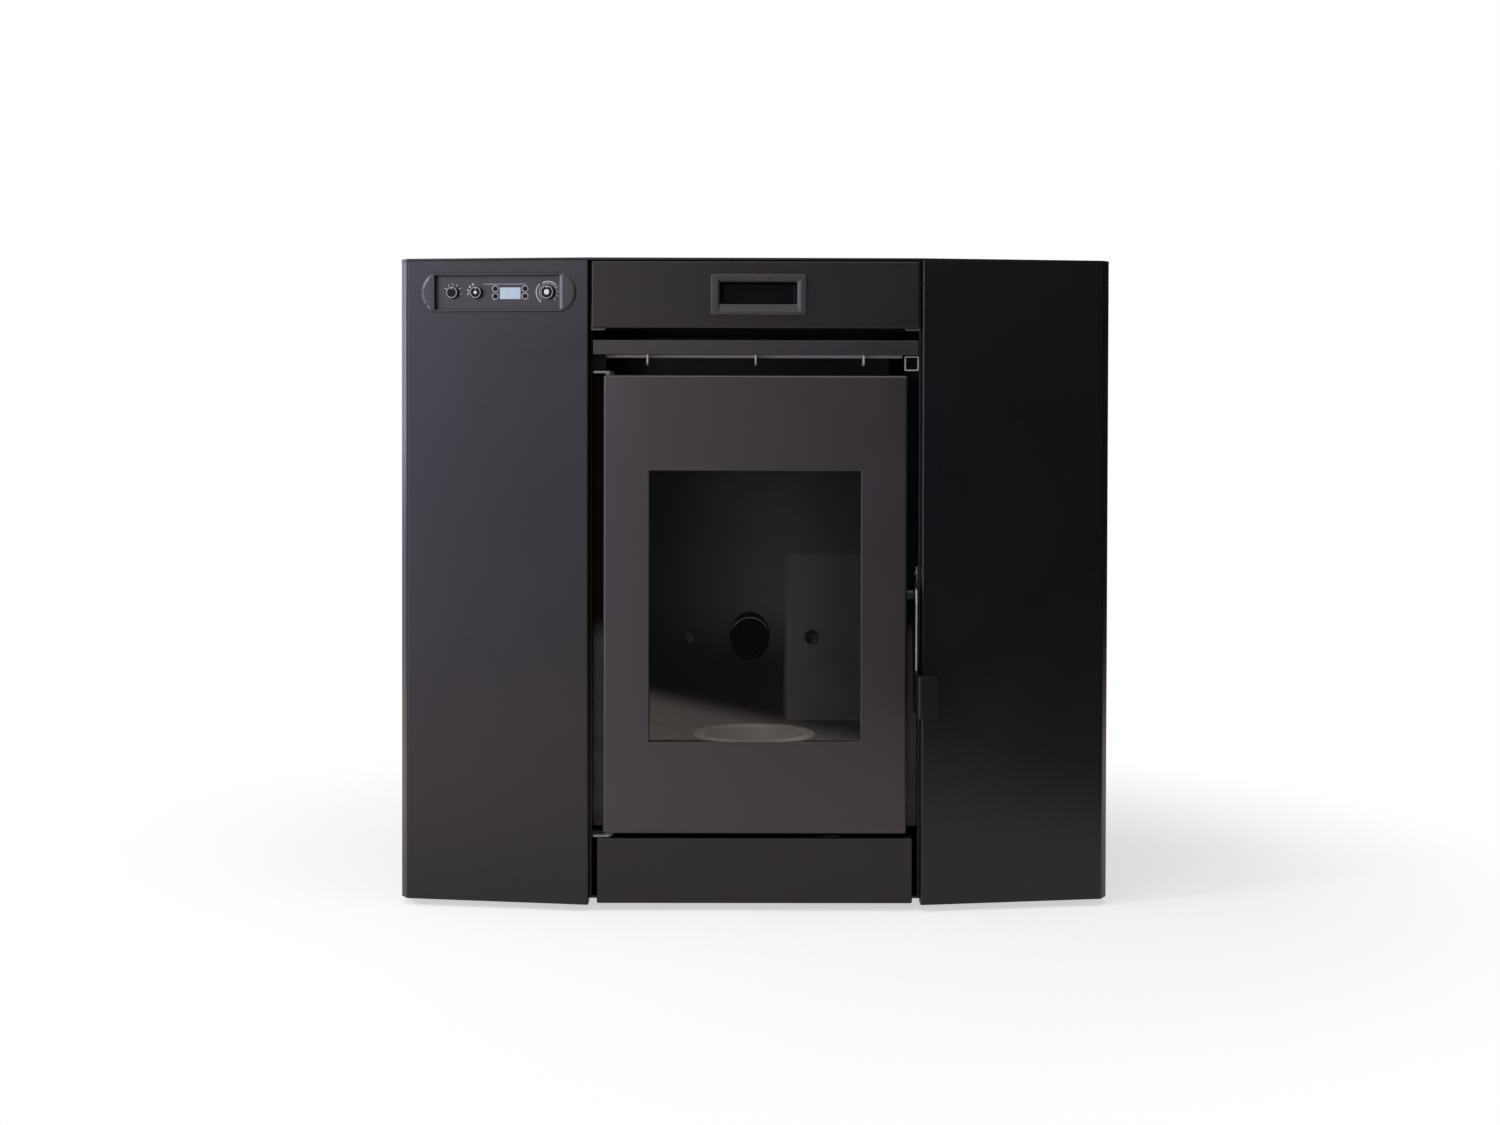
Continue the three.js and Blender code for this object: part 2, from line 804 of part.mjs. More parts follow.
// ---- fire door ----------------------------------------------------------------------------
const windowZ = [doorBottom + windowBottom, doorBottom + windowBottom + windowHeight];
const windowHalf = windowWidth / 2;
const glassHalf = windowWidth / 2 + glassLap;
const glassZ = [windowZ[0] - glassLap, windowZ[1] + glassLap];
const gasketFront = doorSheet + clearance;
const glassFront = gasketFront + gasketThickness + clearance;
const doorFrameFront = glassFront + glassThickness + clearance;
const sealInner = fireOpening.half + sealLap;
const sealZ = [fireOpening.bottom - sealLap, fireOpening.top + sealLap];

function hingeBores() {
  const reach = hingePinReach + hingeWasherGap;
  const at = spot(hinge.x, hinge.y, 0);
  return [
    borer(hingeHoleRadius, [doorTop - reach, doorTop + 1], alongZ, at, 20),
    borer(hingeHoleRadius, [doorBottom - 1, doorBottom + reach], alongZ, at, 20),
  ];
}

function makeDoor() {
  const shell = pan(
    doorHalf,
    [doorBottom, doorTop],
    [0, doorDepth],
    doorSheet,
    doorEdgeRadius,
  );
  const view = middleBlock(windowHalf, [-1, doorSheet + 1], windowZ);
  place('door_panel', cut(shell, view, ...hingeBores()), doorPaint);

  const inset = doorSheet + clearance;
  const frameHalf = doorHalf - inset;
  const frame = middleBlock(frameHalf, [doorFrameFront, doorDepth], [doorBottom + inset, doorTop - inset]);
  const lap = glassLap / 2;
  const frameView = middleBlock(
    windowHalf + lap,
    [0, doorDepth + 1],
    [windowZ[0] - lap, windowZ[1] + lap],
  );
  const grooveY = [doorDepth - sealGrooveDepth, doorDepth + 1];
  const groove = ring(sealInner - clearance, sealZ, -clearance, sealWidth + 2 * clearance, grooveY);
  place('door_frame', cut(frame, frameView, groove, ...hingeBores()), castIron);

  const sealY = [doorDepth - sealGrooveDepth + clearance, doorDepth + sealProud];
  place('door_seal', ring(sealInner, sealZ, 0, sealWidth, sealY), rope);

  const gasketWidth = glassLap - 1;
  const gasketY = [gasketFront, gasketFront + gasketThickness];
  place('glass_gasket', ring(windowHalf + 1, windowZ, 1, gasketWidth, gasketY), rope);
  place('door_glass', middleBlock(glassHalf, [glassFront, glassFront + glassThickness], glassZ), heatGlass);
}

// A rectangular ring around an opening: its inner half width, the opening's bottom and top, how
// far the ring's inside lies from them (inwards when positive), its width and its depth.
function ring(innerHalf, [bottom, top], ease, width, y) {
  const outer = middleBlock(innerHalf + width, y, [bottom - ease - width, top + ease + width]);
  const inner = middleBlock(innerHalf, [y[0] - 1, y[1] + 1], [bottom - ease, top + ease]);
  return cut(outer, inner);
}

function makeHinges() {
  const wall = -chassisInner + clearance;
  const plateX = [wall, hinge.x + hingePinRadius + hingePlateRim];
  const plateFront = hinge.y - hingePinRadius - hingePlateLead;
  const plateY = [plateFront, plateFront + hingePlateDepth];
  const upper = doorTop + hingeWasherGap;
  const lower = doorBottom - hingeWasherGap;
  const at = spot(hinge.x, hinge.y, 0);
  const upperPlate = block(plateX, plateY, [upper, upper + hingePlateThickness]);
  const upperPin = rod(hingePinRadius, [doorTop - hingePinReach, upper + 1], alongZ, at, 20);
  place('hinge_pintle_upper', join(upperPlate, upperPin), zincSteel);
  const lowerPlate = block(plateX, plateY, [lower - hingePlateThickness, lower]);
  const lowerPin = rod(hingePinRadius, [lower - 1, doorBottom + hingePinReach], alongZ, at, 20);
  place('hinge_pintle_lower', join(lowerPlate, lowerPin), zincSteel);
}

function makeHandle() {
  const top = leverPivot.z + leverNoseUp;
  const gripTop = leverPivot.z - gripPlateTop;
  const gripFoot = gripTop - gripPlateHeight;
  const outline = [
    [-gripPlateReach, gripFoot],
    [gripPlateBack, gripFoot],
    [gripPlateBack, gripTop],
    [leverBack, gripTop + leverNeck],
    [leverBack, leverPivot.z - leverNeck],
    [leverNoseBack, leverPivot.z - leverNoseDrop],
    [leverNoseBack, top],
    [leverTopSetback, top],
    [-leverFront, leverPivot.z - leverFrontDrop],
    [-leverFront, gripTop],
    [-gripPlateReach, gripTop],
  ].map(([y, z]) => new THREE.Vector2(y, z));
  const plate = widened(outline, [leverX, leverX + leverThickness]);
  const leaf = block(
    [leverX, leverX + leverThickness + gripPlateWidth],
    [-gripPlateReach, -gripPlateReach + leverThickness],
    [gripFoot, gripTop],
  );
  const at = spot(0, leverPivot.y, leverPivot.z);
  const bore = borer(leverPivotRadius + clearance, [leverX - 1, leverX + leverThickness + 1], alongX, at);
  place('door_handle', cut(join(plate, leaf), bore), blackSteel);

  const lever = [leverX - clearance, leverX + leverThickness + clearance];
  const screw = [
    [0, doorHalf + clearance],
    [leverPivotRadius + screwShoulder, doorHalf + clearance],
    [leverPivotRadius + screwShoulder, lever[0]],
    [leverPivotRadius, lever[0]],
    [leverPivotRadius, lever[1]],
    [leverPivotRadius + screwHead, lever[1]],
    [leverPivotRadius + screwHead, lever[1] + screwHeadHeight],
    [0, lever[1] + screwHeadHeight],
  ];
  place('handle_pivot_screw', turned(screw, alongX, at), stainless);

  const keeperFoot = leverPivot.z + keeperRise;
  const keeperZ = [keeperFoot, keeperFoot + keeperHeight];
  const keeperBack = frameFace - clearance;
  const keeper = block(
    [chassisInner - clearance - keeperThickness, chassisInner - clearance],
    [keeperBack - keeperDepth, keeperBack],
    keeperZ,
  );
  place('latch_keeper', keeper, zincSteel);
}

// ---- firebox ------------------------------------------------------------------------------
function chuteCylinder(radius, [from, to]) {
  return borer(radius, [from, to], chuteWay, chuteMouth);
}

const exhaustCentre = spot(exhaustOffset, 0, floorGap + exhaustHeight);
const igniterCentre = spot(0, 0, fireboxBottom + igniterHeight);

function makeFirebox() {
  const frame = middleBlock(
    chassisInner - clearance,
    [frameFace, frameFace + fireboxWall],
    [doorBottom + fireboxFrameInset, doorTop - fireboxFrameInset],
  );
  const shell = middleBlock(fireboxHalf, [frameFace + 1, fireboxBack], [fireboxBottom, fireboxTop]);
  const chamber = middleBlock(
    fireboxInner,
    [frameFace + fireboxWall, rearWallFront],
    [fireboxBottom + fireboxWall, fireboxTop - fireboxWall],
  );
  const mouth = middleBlock(
    fireOpening.half,
    [frameFace - 1, frameFace + fireboxWall + 1],
    [fireOpening.bottom, fireOpening.top],
  );
  const shelf = middleBlock(
    fireboxInner + 1,
    [frameFace + fireboxWall - 1, firebackFront + firebackThickness],
    [shelfTop - fireboxWall, shelfTop],
  );
  const potHole = borer(
    potRadius + potSocketGap,
    [shelfTop - fireboxWall - 1, shelfTop + 1],
    alongZ,
    spot(0, potSetback, 0),
  );
  const ashHole = middleBlock(
    ashHoleHalf,
    [potSetback - ashHoleFront, potSetback + ashHoleBack],
    [fireboxBottom - 1, fireboxBottom + fireboxWall + 1],
  );
  const behind = [rearWallFront - 1, fireboxBack + 1];
  const hollow = cut(join(frame, shell), chamber, mouth);
  const body = cut(
    join(hollow, shelf),
    potHole,
    ashHole,
    chuteCylinder(chuteBore + chuteWall + clearance + 0.3, [0, 80]),
    borer(exhaustInlet, behind, alongY, exhaustCentre),
    borer(airRadius - airWall, behind, alongY, airCentre),
    borer(igniterRadius + clearance, behind, alongY, igniterCentre),
  );
  place('firebox', body, blackSteel);
}

function makeFireback() {
  const firebackBottom = shelfTop + clearance;
  const plate = middleBlock(
    fireboxInner - clearance,
    [firebackFront, firebackFront + firebackThickness],
    [firebackBottom, firebackBottom + firebackHeight],
  );
  const middle = chuteMouth.x + 1;
  const boltX = [middle - boltSpacing / 2, middle + boltSpacing / 2];
  const shankRadius = 4;
  const holes = boltX.map((x) => borer(
    shankRadius + clearance,
    [firebackFront - 1, firebackFront + firebackThickness + 1],
    alongY,
    spot(x, 0, chuteMouth.z),
  ));
  const mouth = chuteCylinder(chuteBore, [-30, 40]);
  place('fireback_plate', cut(plate, mouth, ...holes), castIron);

  const spacer = [firebackFront + firebackThickness + clearance, rearWallFront - clearance];
  const headBack = firebackFront - clearance;
  ['fireback_bolt_left', 'fireback_bolt_right'].forEach((name, i) => {
    const at = spot(boltX[i], 0, chuteMouth.z);
    const headRadius = boltHead / 2 / Math.cos(Math.PI / 6);
    const head = rod(headRadius, [headBack - boltHeadHeight, headBack], alongY, at, 6);
    const shank = rod(shankRadius, [headBack - 1, spacer[1]], alongY, at, 16);
    const sleeve = rod(shankRadius + 4, spacer, alongY, at, 16);
    place(name, join(head, shank, sleeve), stainless);
  });

  const baffleZ = fireboxTop - baffleDrop;
  const baffle = middleBlock(
    fireboxInner - clearance,
    [firebackFront - baffleDepth, firebackFront - clearance],
    [baffleZ, baffleZ + baffleThickness],
  );
  place('flame_baffle', baffle, castIron);
}

function makeBurnPot() {
  const rimBottom = shelfTop + clearance;
  const rimTop = rimBottom + potRimHeight;
  const bottom = rimTop - potDepth;
  const profile = [
    [0, bottom],
    [potRadius - potDishEdge, bottom],
    [potRadius, bottom + potDishEdge],
    [potRadius, rimBottom],
    [potRimRadius, rimBottom],
    [potRimRadius, rimTop],
    [potRadius - potWall / 2, rimTop],
    [potRadius - potWall, rimTop - potWall],
    [potRadius - potWall, bottom + potWall + potDishEdge],
    [potRadius - potWall - potDishEdge, bottom + potWall],
    [0, bottom + potWall],
  ];
  place('burn_pot', turned(profile, alongZ, spot(0, potSetback, 0), 32), castIron);

  const tip = potSetback + potRadius + clearance + 0.3;
  const flange = [fireboxBack + clearance, fireboxBack + clearance + 3];
  const igniter = [
    [0, tip],
    [igniterRadius, tip],
    [igniterRadius, flange[0]],
    [igniterRadius + igniterFlange, flange[0]],
    [igniterRadius + igniterFlange, flange[1]],
    [0, flange[1]],
  ];
  place('igniter', turned(igniter, alongY, igniterCentre, 16), zincSteel);
}

// ---- hopper and auger ---------------------------------------------------------------------
const collarHalf = hopperMouthWidth / 2 + 2;
const collarDepthHalf = hopperMouthDepth / 2 + 2;

function hopperStack(ease, overrun) {
  const wide = hopperWidth / 2 - ease;
  const y = [hopperFrontY + ease, hopperBackY - ease];
  const bendZ = hopperTop - hopperStraight;
  const narrow = hopperMouthWidth / 2 - ease;
  const narrowY = hopperMouthDepth / 2 - ease;
  const straight = new ConvexGeometry([
    ...level4([-wide, wide], y, hopperTop + overrun),
    ...level4([-wide, wide], y, bendZ),
  ]);
  const mouthSpan = [mouthX - narrow, mouthX + narrow];
  const mouthDepth = [augerAxisY - narrowY, augerAxisY + narrowY];
  const funnel = new ConvexGeometry([
    ...level4([-wide, wide], y, bendZ + 0.5),
    ...level4(mouthSpan, mouthDepth, mouthZ),
  ]);
  const spout = block(mouthSpan, mouthDepth, [mouthZ - overrun, mouthZ + 0.5]);
  return overrun > 0 ? join(straight, funnel, spout) : join(straight, funnel);
}

function makeHopper() {
  const rimHalf = chassisInner - clearance;
  const rim = middleBlock(
    rimHalf,
    [hopperFrontY - hopperRim, rearPanelFront - clearance],
    [hopperTop - hopperSheet, hopperTop],
  );
  const body = cut(join(hopperStack(0, 0), rim), hopperStack(hopperSheet, 2));
  place('hopper', body, zincSteel);
}

const augerAt = (distance) => augerTop.clone().addScaledVector(augerWay, distance);

function makeAuger() {
  const capLength = 5;
  const shell = rod(augerOuter, [0, augerLength], augerWay, augerTop);
  const collar = block(
    [mouthX - collarHalf, mouthX + collarHalf],
    [augerAxisY - collarDepthHalf, augerAxisY + collarDepthHalf],
    [mouthZ - mouthRise, mouthZ - clearance],
  );
  const throat = block(
    [mouthX - hopperMouthWidth / 2 + 2, mouthX + hopperMouthWidth / 2 - 2],
    [augerAxisY - hopperMouthDepth / 2 + 2, augerAxisY + hopperMouthDepth / 2 - 2],
    [mouthZ - mouthRise, mouthZ + 1],
  );
  const bore = borer(augerBore, [capLength, augerLength + 1], augerWay, augerTop);
  const shaftHole = borer(screwShaft + clearance, [-1, capLength + 1], augerWay, augerTop, 16);
  const reach = (augerAxisY - firebackFront) / Math.cos(chuteSlope);
  const outlet = chuteCylinder(chuteBore, [reach - 70, reach]);
  place('auger_tube', cut(join(shell, collar), throat, bore, shaftHole, outlet), zincSteel);

  place('auger_screw', makeScrew(), stainless);

  const frame = new THREE.Matrix4().makeRotationY(augerSlope);
  frame.setPosition(augerAt(augerLength + clearance));
  const box = block(
    [0, gearboxLength],
    [-gearboxSize / 2, gearboxSize / 2],
    [-gearboxSize / 2, gearboxSize / 2],
  );
  const motorSpan = [gearboxLength - 1, gearboxLength + gearMotorLength];
  const motor = rod(gearMotorRadius, motorSpan, alongX, spot(0, 0, 0));
  place('auger_gearmotor', join(box, motor).applyMatrix4(frame), blackSteel);
}

// The screw: a shaft and one helical flight, which runs from just inside the cap to the gearbox.
function makeScrew() {
  const outer = augerBore - augerRunningGap;
  const length = augerLength - 12;
  const start = 8;
  const steps = Math.round((length / screwPitch) * 10);
  const points = [];
  for (let i = 0; i <= steps; i += 1) {
    const turn = (i / steps) * (length / screwPitch) * Math.PI * 2;
    const along = start + (i / steps) * (length - screwFlight);
    const radii = [[screwShaft - 1, 0], [outer, 0], [outer, screwFlight], [screwShaft - 1, screwFlight]];
    for (const [radius, lift] of radii) {
      points.push(along + lift, radius * Math.cos(turn), radius * Math.sin(turn));
    }
  }
  const faces = [];
  for (let i = 0; i < steps; i += 1) {
    for (let side = 0; side < 4; side += 1) {
      const next = (side + 1) % 4;
      const [a, b] = [i * 4 + side, i * 4 + next];
      const [c, d] = [a + 4, b + 4];
      faces.push(a, c, b, b, c, d);
    }
  }
  const end = steps * 4;
  faces.push(0, 1, 2, 0, 2, 3, end, end + 2, end + 1, end, end + 3, end + 2);
  const flight = new THREE.BufferGeometry();
  flight.setAttribute('position', new THREE.Float32BufferAttribute(points, 3));
  flight.setIndex(faces);
  const shaft = rod(screwShaft, [-2, augerLength - clearance], alongX, spot(0, 0, 0), 16);
  const frame = new THREE.Matrix4().makeRotationY(augerSlope);
  frame.setPosition(augerTop);
  return join(shaft, flight).applyMatrix4(frame);
}

function makeChute() {
  const reach = (augerAxisY - firebackFront) / Math.cos(chuteSlope);
  const tube = pipe(chuteBore + chuteWall, chuteBore, [-60, reach], chuteWay, chuteMouth);
  const mouthY = firebackFront + firebackThickness + clearance;
  const inFront = middleBlock(half, [-100, mouthY], [0, bodyHeight]);
  const auger = rod(augerOuter + clearance, [-50, augerLength + 50], augerWay, augerTop);
  place('pellet_chute', cut(tube, inFront, auger), zincSteel);
}

// ---- fans, flue and air -------------------------------------------------------------------
function makeExhaust() {
  const front = fireboxBack + clearance;
  const back = front + exhaustDepth;
  const inside = [front + exhaustWall, back - exhaustWall];
  const boxX = [flueOffset - outletBoxHalf - 1, exhaustOffset];
  const boxZ = [flueCentre.z - outletBoxHalf, flueCentre.z + outletBoxHalf];
  const outer = join(
    rod(exhaustRadius, [front, back], alongY, exhaustCentre, 32),
    block(boxX, [front, back], boxZ),
  );
  const wall = exhaustWall;
  const inner = join(
    rod(exhaustRadius - wall, inside, alongY, exhaustCentre, 32),
    block([boxX[0] + wall, boxX[1]], inside, [boxZ[0] + wall, boxZ[1] - wall]),
  );
  const housing = cut(
    outer,
    inner,
    borer(exhaustInlet, [front - 1, inside[0] + 1], alongY, exhaustCentre),
    borer(exhaustShaft + 4, [inside[1] - 1, back + 1], alongY, exhaustCentre, 16),
    borer(flueRadius - flueWall, [inside[1] - 1, back + 1], alongY, flueCentre),
  );
  place('exhaust_fan_housing', housing, zincSteel);

  const wheelBack = inside[1] - 6;
  const wheelFront = wheelBack - exhaustWheelDepth;
  const discSpan = [wheelBack - 2, wheelBack];
  const disc = pipe(exhaustWheelRadius, exhaustShaft + 3, discSpan, alongY, exhaustCentre, 32);
  const hub = pipe(12, exhaustShaft + clearance, [wheelBack - 16, wheelBack], alongY, exhaustCentre, 16);
  const blades = [];
  for (let i = 0; i < 8; i += 1) {
    const blade = block(
      [exhaustInlet - 8, exhaustWheelRadius - 1],
      [wheelFront, wheelBack - 1],
      [-0.75, 0.75],
    );
    const angle = (i / 8) * Math.PI * 2;
    blades.push(blade.rotateY(angle).translate(exhaustCentre.x, 0, exhaustCentre.z));
  }
  place('exhaust_fan_wheel', join(disc, hub, ...blades), stainless);

  const motorFront = back + clearance;
  const motor = [
    [0, wheelBack - 14],
    [exhaustShaft, wheelBack - 14],
    [exhaustShaft, motorFront],
    [exhaustMotorRadius, motorFront],
    [exhaustMotorRadius, motorFront + exhaustMotorLength - 8],
    [exhaustMotorRadius - 10, motorFront + exhaustMotorLength],
    [0, motorFront + exhaustMotorLength],
  ];
  place('exhaust_fan_motor', turned(motor, alongY, exhaustCentre), blackSteel);

  const spigotFront = back + clearance;
  const spigotEnd = bodyDepth + spigotReach;
  const spigot = [
    [flueRadius + 6, spigotFront],
    [flueRadius + 6, spigotFront + 3],
    [flueRadius, spigotFront + 3],
    [flueRadius, spigotEnd],
    [flueRadius - flueWall, spigotEnd],
    [flueRadius - flueWall, spigotFront],
  ];
  place('flue_spigot', turned(spigot, alongY, flueCentre, 32), zincSteel);

  const airSpan = [fireboxBack + clearance, spigotEnd];
  place('air_intake_pipe', pipe(airRadius, airRadius - airWall, airSpan, alongY, airCentre), zincSteel);
}

function makeRoomFan() {
  const left = roomFanOffset - roomFanWidth / 2;
  const right = left + roomFanWidth;
  const axisZ = baseTop + roomFanAxis;
  const chamber = roomWheelRadius + roomWheelGap;
  const at = spot(0, roomFanSetback, axisZ);
  const outer = chamber + roomFanWall;
  const box = block(
    [left, right],
    [roomFanSetback - outer, roomFanSetback + outer],
    [baseTop + clearance, axisZ + outer],
  );
  const inner = [left + roomFanWall, right - roomFanWall];
  const underHollow = block(
    inner,
    [roomFanSetback - outer + roomFanWall, roomFanSetback + outer - roomFanWall],
    [baseTop - 1, axisZ - outer],
  );
  const housing = cut(
    box,
    borer(chamber, inner, alongX, at, 28),
    underHollow,
    block(inner, [roomFanSetback, roomFanSetback + outer + 1], [axisZ - 22, axisZ + 14]),
    block(inner, [roomFanSetback - outer - 1, roomFanSetback - 16], [axisZ + 6, axisZ + 30]),
    borer(roomFanShaft + clearance, [left - 1, right + 1], alongX, at, 16),
  );
  place('room_fan_housing', housing, zincSteel);

  const wheelX = [inner[0] + 3, inner[1] - 3];
  const discs = wheelX.map((x, i) => {
    const span = i === 0 ? [x, x + 2] : [x - 2, x];
    return rod(roomWheelRadius, span, alongX, at, 24);
  });
  const blades = [];
  const bladeReach = [roomWheelRadius - 8, roomWheelRadius - 1];
  for (let i = 0; i < bladeCount; i += 1) {
    const blade = block([wheelX[0] + 1, wheelX[1] - 1], [-0.6, 0.6], bladeReach);
    const angle = (i / bladeCount) * Math.PI * 2;
    blades.push(blade.rotateX(angle).translate(0, at.y, at.z));
  }
  const shaft = rod(roomFanShaft, [left - 4, right + 4], alongX, at, 16);
  place('room_fan_wheel', join(...discs, shaft, ...blades), blackPlastic);
}

// ---- ash drawer ---------------------------------------------------------------------------
function makeAshDrawer() {
  const ashHalf = chassisInner - ashSideGap;
  const ashBack = ashFrontSetback + ashFrontDepth;
  const front = pan(ashHalf, [ashBottom, ashTop], [ashFrontSetback, ashBack], sheet, 1.5);
  place('ash_drawer_front', front, powderCoat);

  const boxFront = ashFrontSetback + sheet + clearance;
  const boxHalf = ashBoxWidth / 2;
  const boxBottom = baseTop + clearance;
  const box = middleBlock(
    boxHalf,
    [boxFront, boxFront + ashBoxLength],
    [boxBottom, boxBottom + ashBoxHeight],
  );
  const bin = middleBlock(
    boxHalf - ashBoxSheet,
    [boxFront + ashBoxSheet, boxFront + ashBoxLength - ashBoxSheet],
    [boxBottom + ashBoxSheet, boxBottom + ashBoxHeight + 1],
  );
  place('ash_drawer_box', cut(box, bin), zincSteel);
}

// ---- control panel, built in the plane of the left wing ------------------------------------
const floorFront = recessDepth;
const floorBack = recessDepth + panelFloor;
const boardFront = floorBack + boardGap;

function stadium() {
  const shape = new THREE.Shape();
  const rise = bezelHeight / 2;
  const radius = (rise * rise + bezelEndRise * bezelEndRise) / (2 * bezelEndRise);
  const span = Math.asin(rise / radius);
  const centre = bezelWidth / 2 - radius;
  shape.absarc(centre, 0, radius, -span, span);
  shape.absarc(-centre, 0, radius, Math.PI - span, Math.PI + span);
  return shape;
}

function makeControlPanel() {
  const flange = deepened(stadium(), [-bezelProud, -clearance]);
  const tub = block(
    [-bodyHoleWidth / 2, bodyHoleWidth / 2],
    [-bezelProud / 2, floorBack],
    [-bodyHoleHeight / 2, bodyHoleHeight / 2],
  );
  const recess = block(
    [-recessWidth / 2, recessWidth / 2],
    [-bezelProud - 1, floorFront],
    [-recessHeight / 2, recessHeight / 2],
  );
  const through = [floorFront - 1, floorBack + 1];
  const holes = [];
  for (const { offset } of Object.values(knobs)) {
    holes.push(borer(knobShaft + clearance, through, alongY, spot(offset, 0, 0), 16));
  }
  const displayHalf = displayWidth / 2 + clearance;
  const displayRise = displayHeight / 2 + clearance;
  holes.push(block(
    [displayOffset - displayHalf, displayOffset + displayHalf],
    through,
    [-displayDrop - displayRise, -displayDrop + displayRise],
  ));
  const buttonHalf = buttonSize / 2;
  const holeHalf = buttonHalf + clearance;
  for (const x of Object.values(buttonColumns)) {
    for (const z of Object.values(buttonRows)) {
      holes.push(block([x - holeHalf, x + holeHalf], through, [z - holeHalf, z + holeHalf]));
    }
  }
  place('control_bezel', cut(join(flange, tub), recess, ...holes), blackPlastic, panel);

  const displayFront = floorFront + clearance;
  const lens = block(
    [displayOffset - displayWidth / 2, displayOffset + displayWidth / 2],
    [displayFront, floorBack + 1],
    [-displayDrop - displayHeight / 2, -displayDrop + displayHeight / 2],
  );
  const backHalf = displayWidth / 2 + displayFlange;
  const backRise = displayHeight / 2 + displayFlange;
  const backing = block(
    [displayOffset - backHalf, displayOffset + backHalf],
    [floorBack + clearance, boardFront - clearance],
    [-displayDrop - backRise, -displayDrop + backRise],
  );
  place('display_module', join(lens, backing), displayGlass, panel);

  for (const [name, { offset, radius, height }] of Object.entries(knobs)) {
    const back = floorFront - clearance;
    const profile = [
      [0, back - height],
      [radius - 1, back - height],
      [radius, back - height + 1],
      [radius, back],
      [knobShaft, back],
      [knobShaft, boardFront - clearance],
      [0, boardFront - clearance],
    ];
    place(name, turned(profile, alongY, spot(offset, 0, 0)), blackPlastic, panel);
  }

  const front = floorFront - buttonTravel - buttonProud;
  for (const [column, x] of Object.entries(buttonColumns)) {
    for (const [row, z] of Object.entries(buttonRows)) {
      const cap = block(
        [x - buttonHalf, x + buttonHalf],
        [front, front + buttonDepth],
        [z - buttonHalf, z + buttonHalf],
      );
      place(`button_${row}_${column}`, cap, blackPlastic, panel);
    }
  }

  const boardHalf = recessWidth / 2 - boardInset;
  const boardRise = recessHeight / 2 - boardRiseInset;
  const board = block(
    [-boardHalf, boardHalf],
    [boardFront, boardFront + boardThickness],
    [-boardRise, boardRise],
  );
  const posts = [];
  for (const side of [-1, 1]) {
    for (const rise of [-1, 1]) {
      const at = spot(side * (boardHalf - postInset), 0, rise * (boardRise - postInset));
      posts.push(rod(postRadius, [floorBack + clearance, boardFront + 1], alongY, at, 12));
    }
  }
  const chips = [potBlock, driverBlock].map(({ left, right, depth, rise }) => (
    block([left, right], [boardFront + 1, boardFront + depth], [-rise, rise])
  ));
  place('control_board', join(board, ...posts, ...chips), circuitGreen, panel);
}

// ---- mains inlet --------------------------------------------------------------------------
function makeMainsInlet() {
  const middle = floorGap + inletHeight;
  const flangeFront = rearPanelBack + clearance;
  const flangeBack = flangeFront + inletFlange;
  const bodyHalf = inletWidth / 2 - inletLap - clearance;
  const bodyRise = inletFlangeHeight / 2 - inletLapRise - clearance;
  const x = (reach) => [inletOffset - reach, inletOffset + reach];
  const z = (centre, reach) => [centre - reach, centre + reach];
  const flange = block(x(inletWidth / 2), [flangeFront, flangeBack], z(middle, inletFlangeHeight / 2));
  const body = block(x(bodyHalf), [flangeFront - inletDepth, flangeFront + 1], z(middle, bodyRise));
  const socketMiddle = middle - socketDrop;
  const socketY = [flangeBack - socketDepth, flangeBack + 1];
  const socket = block(x(socketHalf), socketY, z(socketMiddle, socketRise));
  const pins = socketPins.map((offset) => block(
    [inletOffset + offset - 1, inletOffset + offset + 1],
    [socketY[0] - 1, flangeBack - 4],
    z(socketMiddle, 2),
  ));
  const rockerMiddle = middle + rockerUp;
  const rockerReach = rockerHeight / 2;
  const well = block(
    x(rockerReach + 1.5),
    [flangeBack - rockerWell, flangeBack + 1],
    z(rockerMiddle, rockerWidth / 2 + clearance),
  );
  place('mains_inlet', join(cut(join(flange, body), socket, well), ...pins), blackPlastic);

  const profile = [
    [-rockerReach, 2],
    [0, 0.6],
    [rockerReach, 2],
    [rockerReach - 1.5, -3],
    [3, -7.4],
    [-3, -7.4],
    [-rockerReach + 1.5, -3],
  ].map(([across, out]) => new THREE.Vector2(across, -out));
  const rocker = extruded(profile, rockerWidth).translate(0, 0, -rockerWidth / 2);
  const turn = new THREE.Matrix4().makeRotationZ(Math.PI + rockerTilt);
  rocker.applyMatrix4(turn);
  place('rocker_switch', rocker.translate(inletOffset, flangeBack - rockerSeat, rockerMiddle), blackPlastic);
}

// ---- assembly -----------------------------------------------------------------------------
makeCasing();
makeRearPanel();
makeFeet();
makeDrawer();
makeRunners();
makeOutletBar();
makeDoor();
makeHinges();
makeHandle();
makeFirebox();
makeFireback();
makeBurnPot();
makeHopper();
makeAuger();
makeChute();
makeExhaust();
makeRoomFan();
makeAshDrawer();
makeControlPanel();
makeMainsInlet();

// The bounding box runs from the grip's face to the ends of the flue spigot and air pipe.
model.position.y = (gripPlateReach - bodyDepth - spigotReach) / 2;

export default stove;
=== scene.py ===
"""Looks of the pellet stove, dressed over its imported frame. Metres, +Z up, front towards -Y."""
import math

import bpy
from mathutils import Matrix, Vector


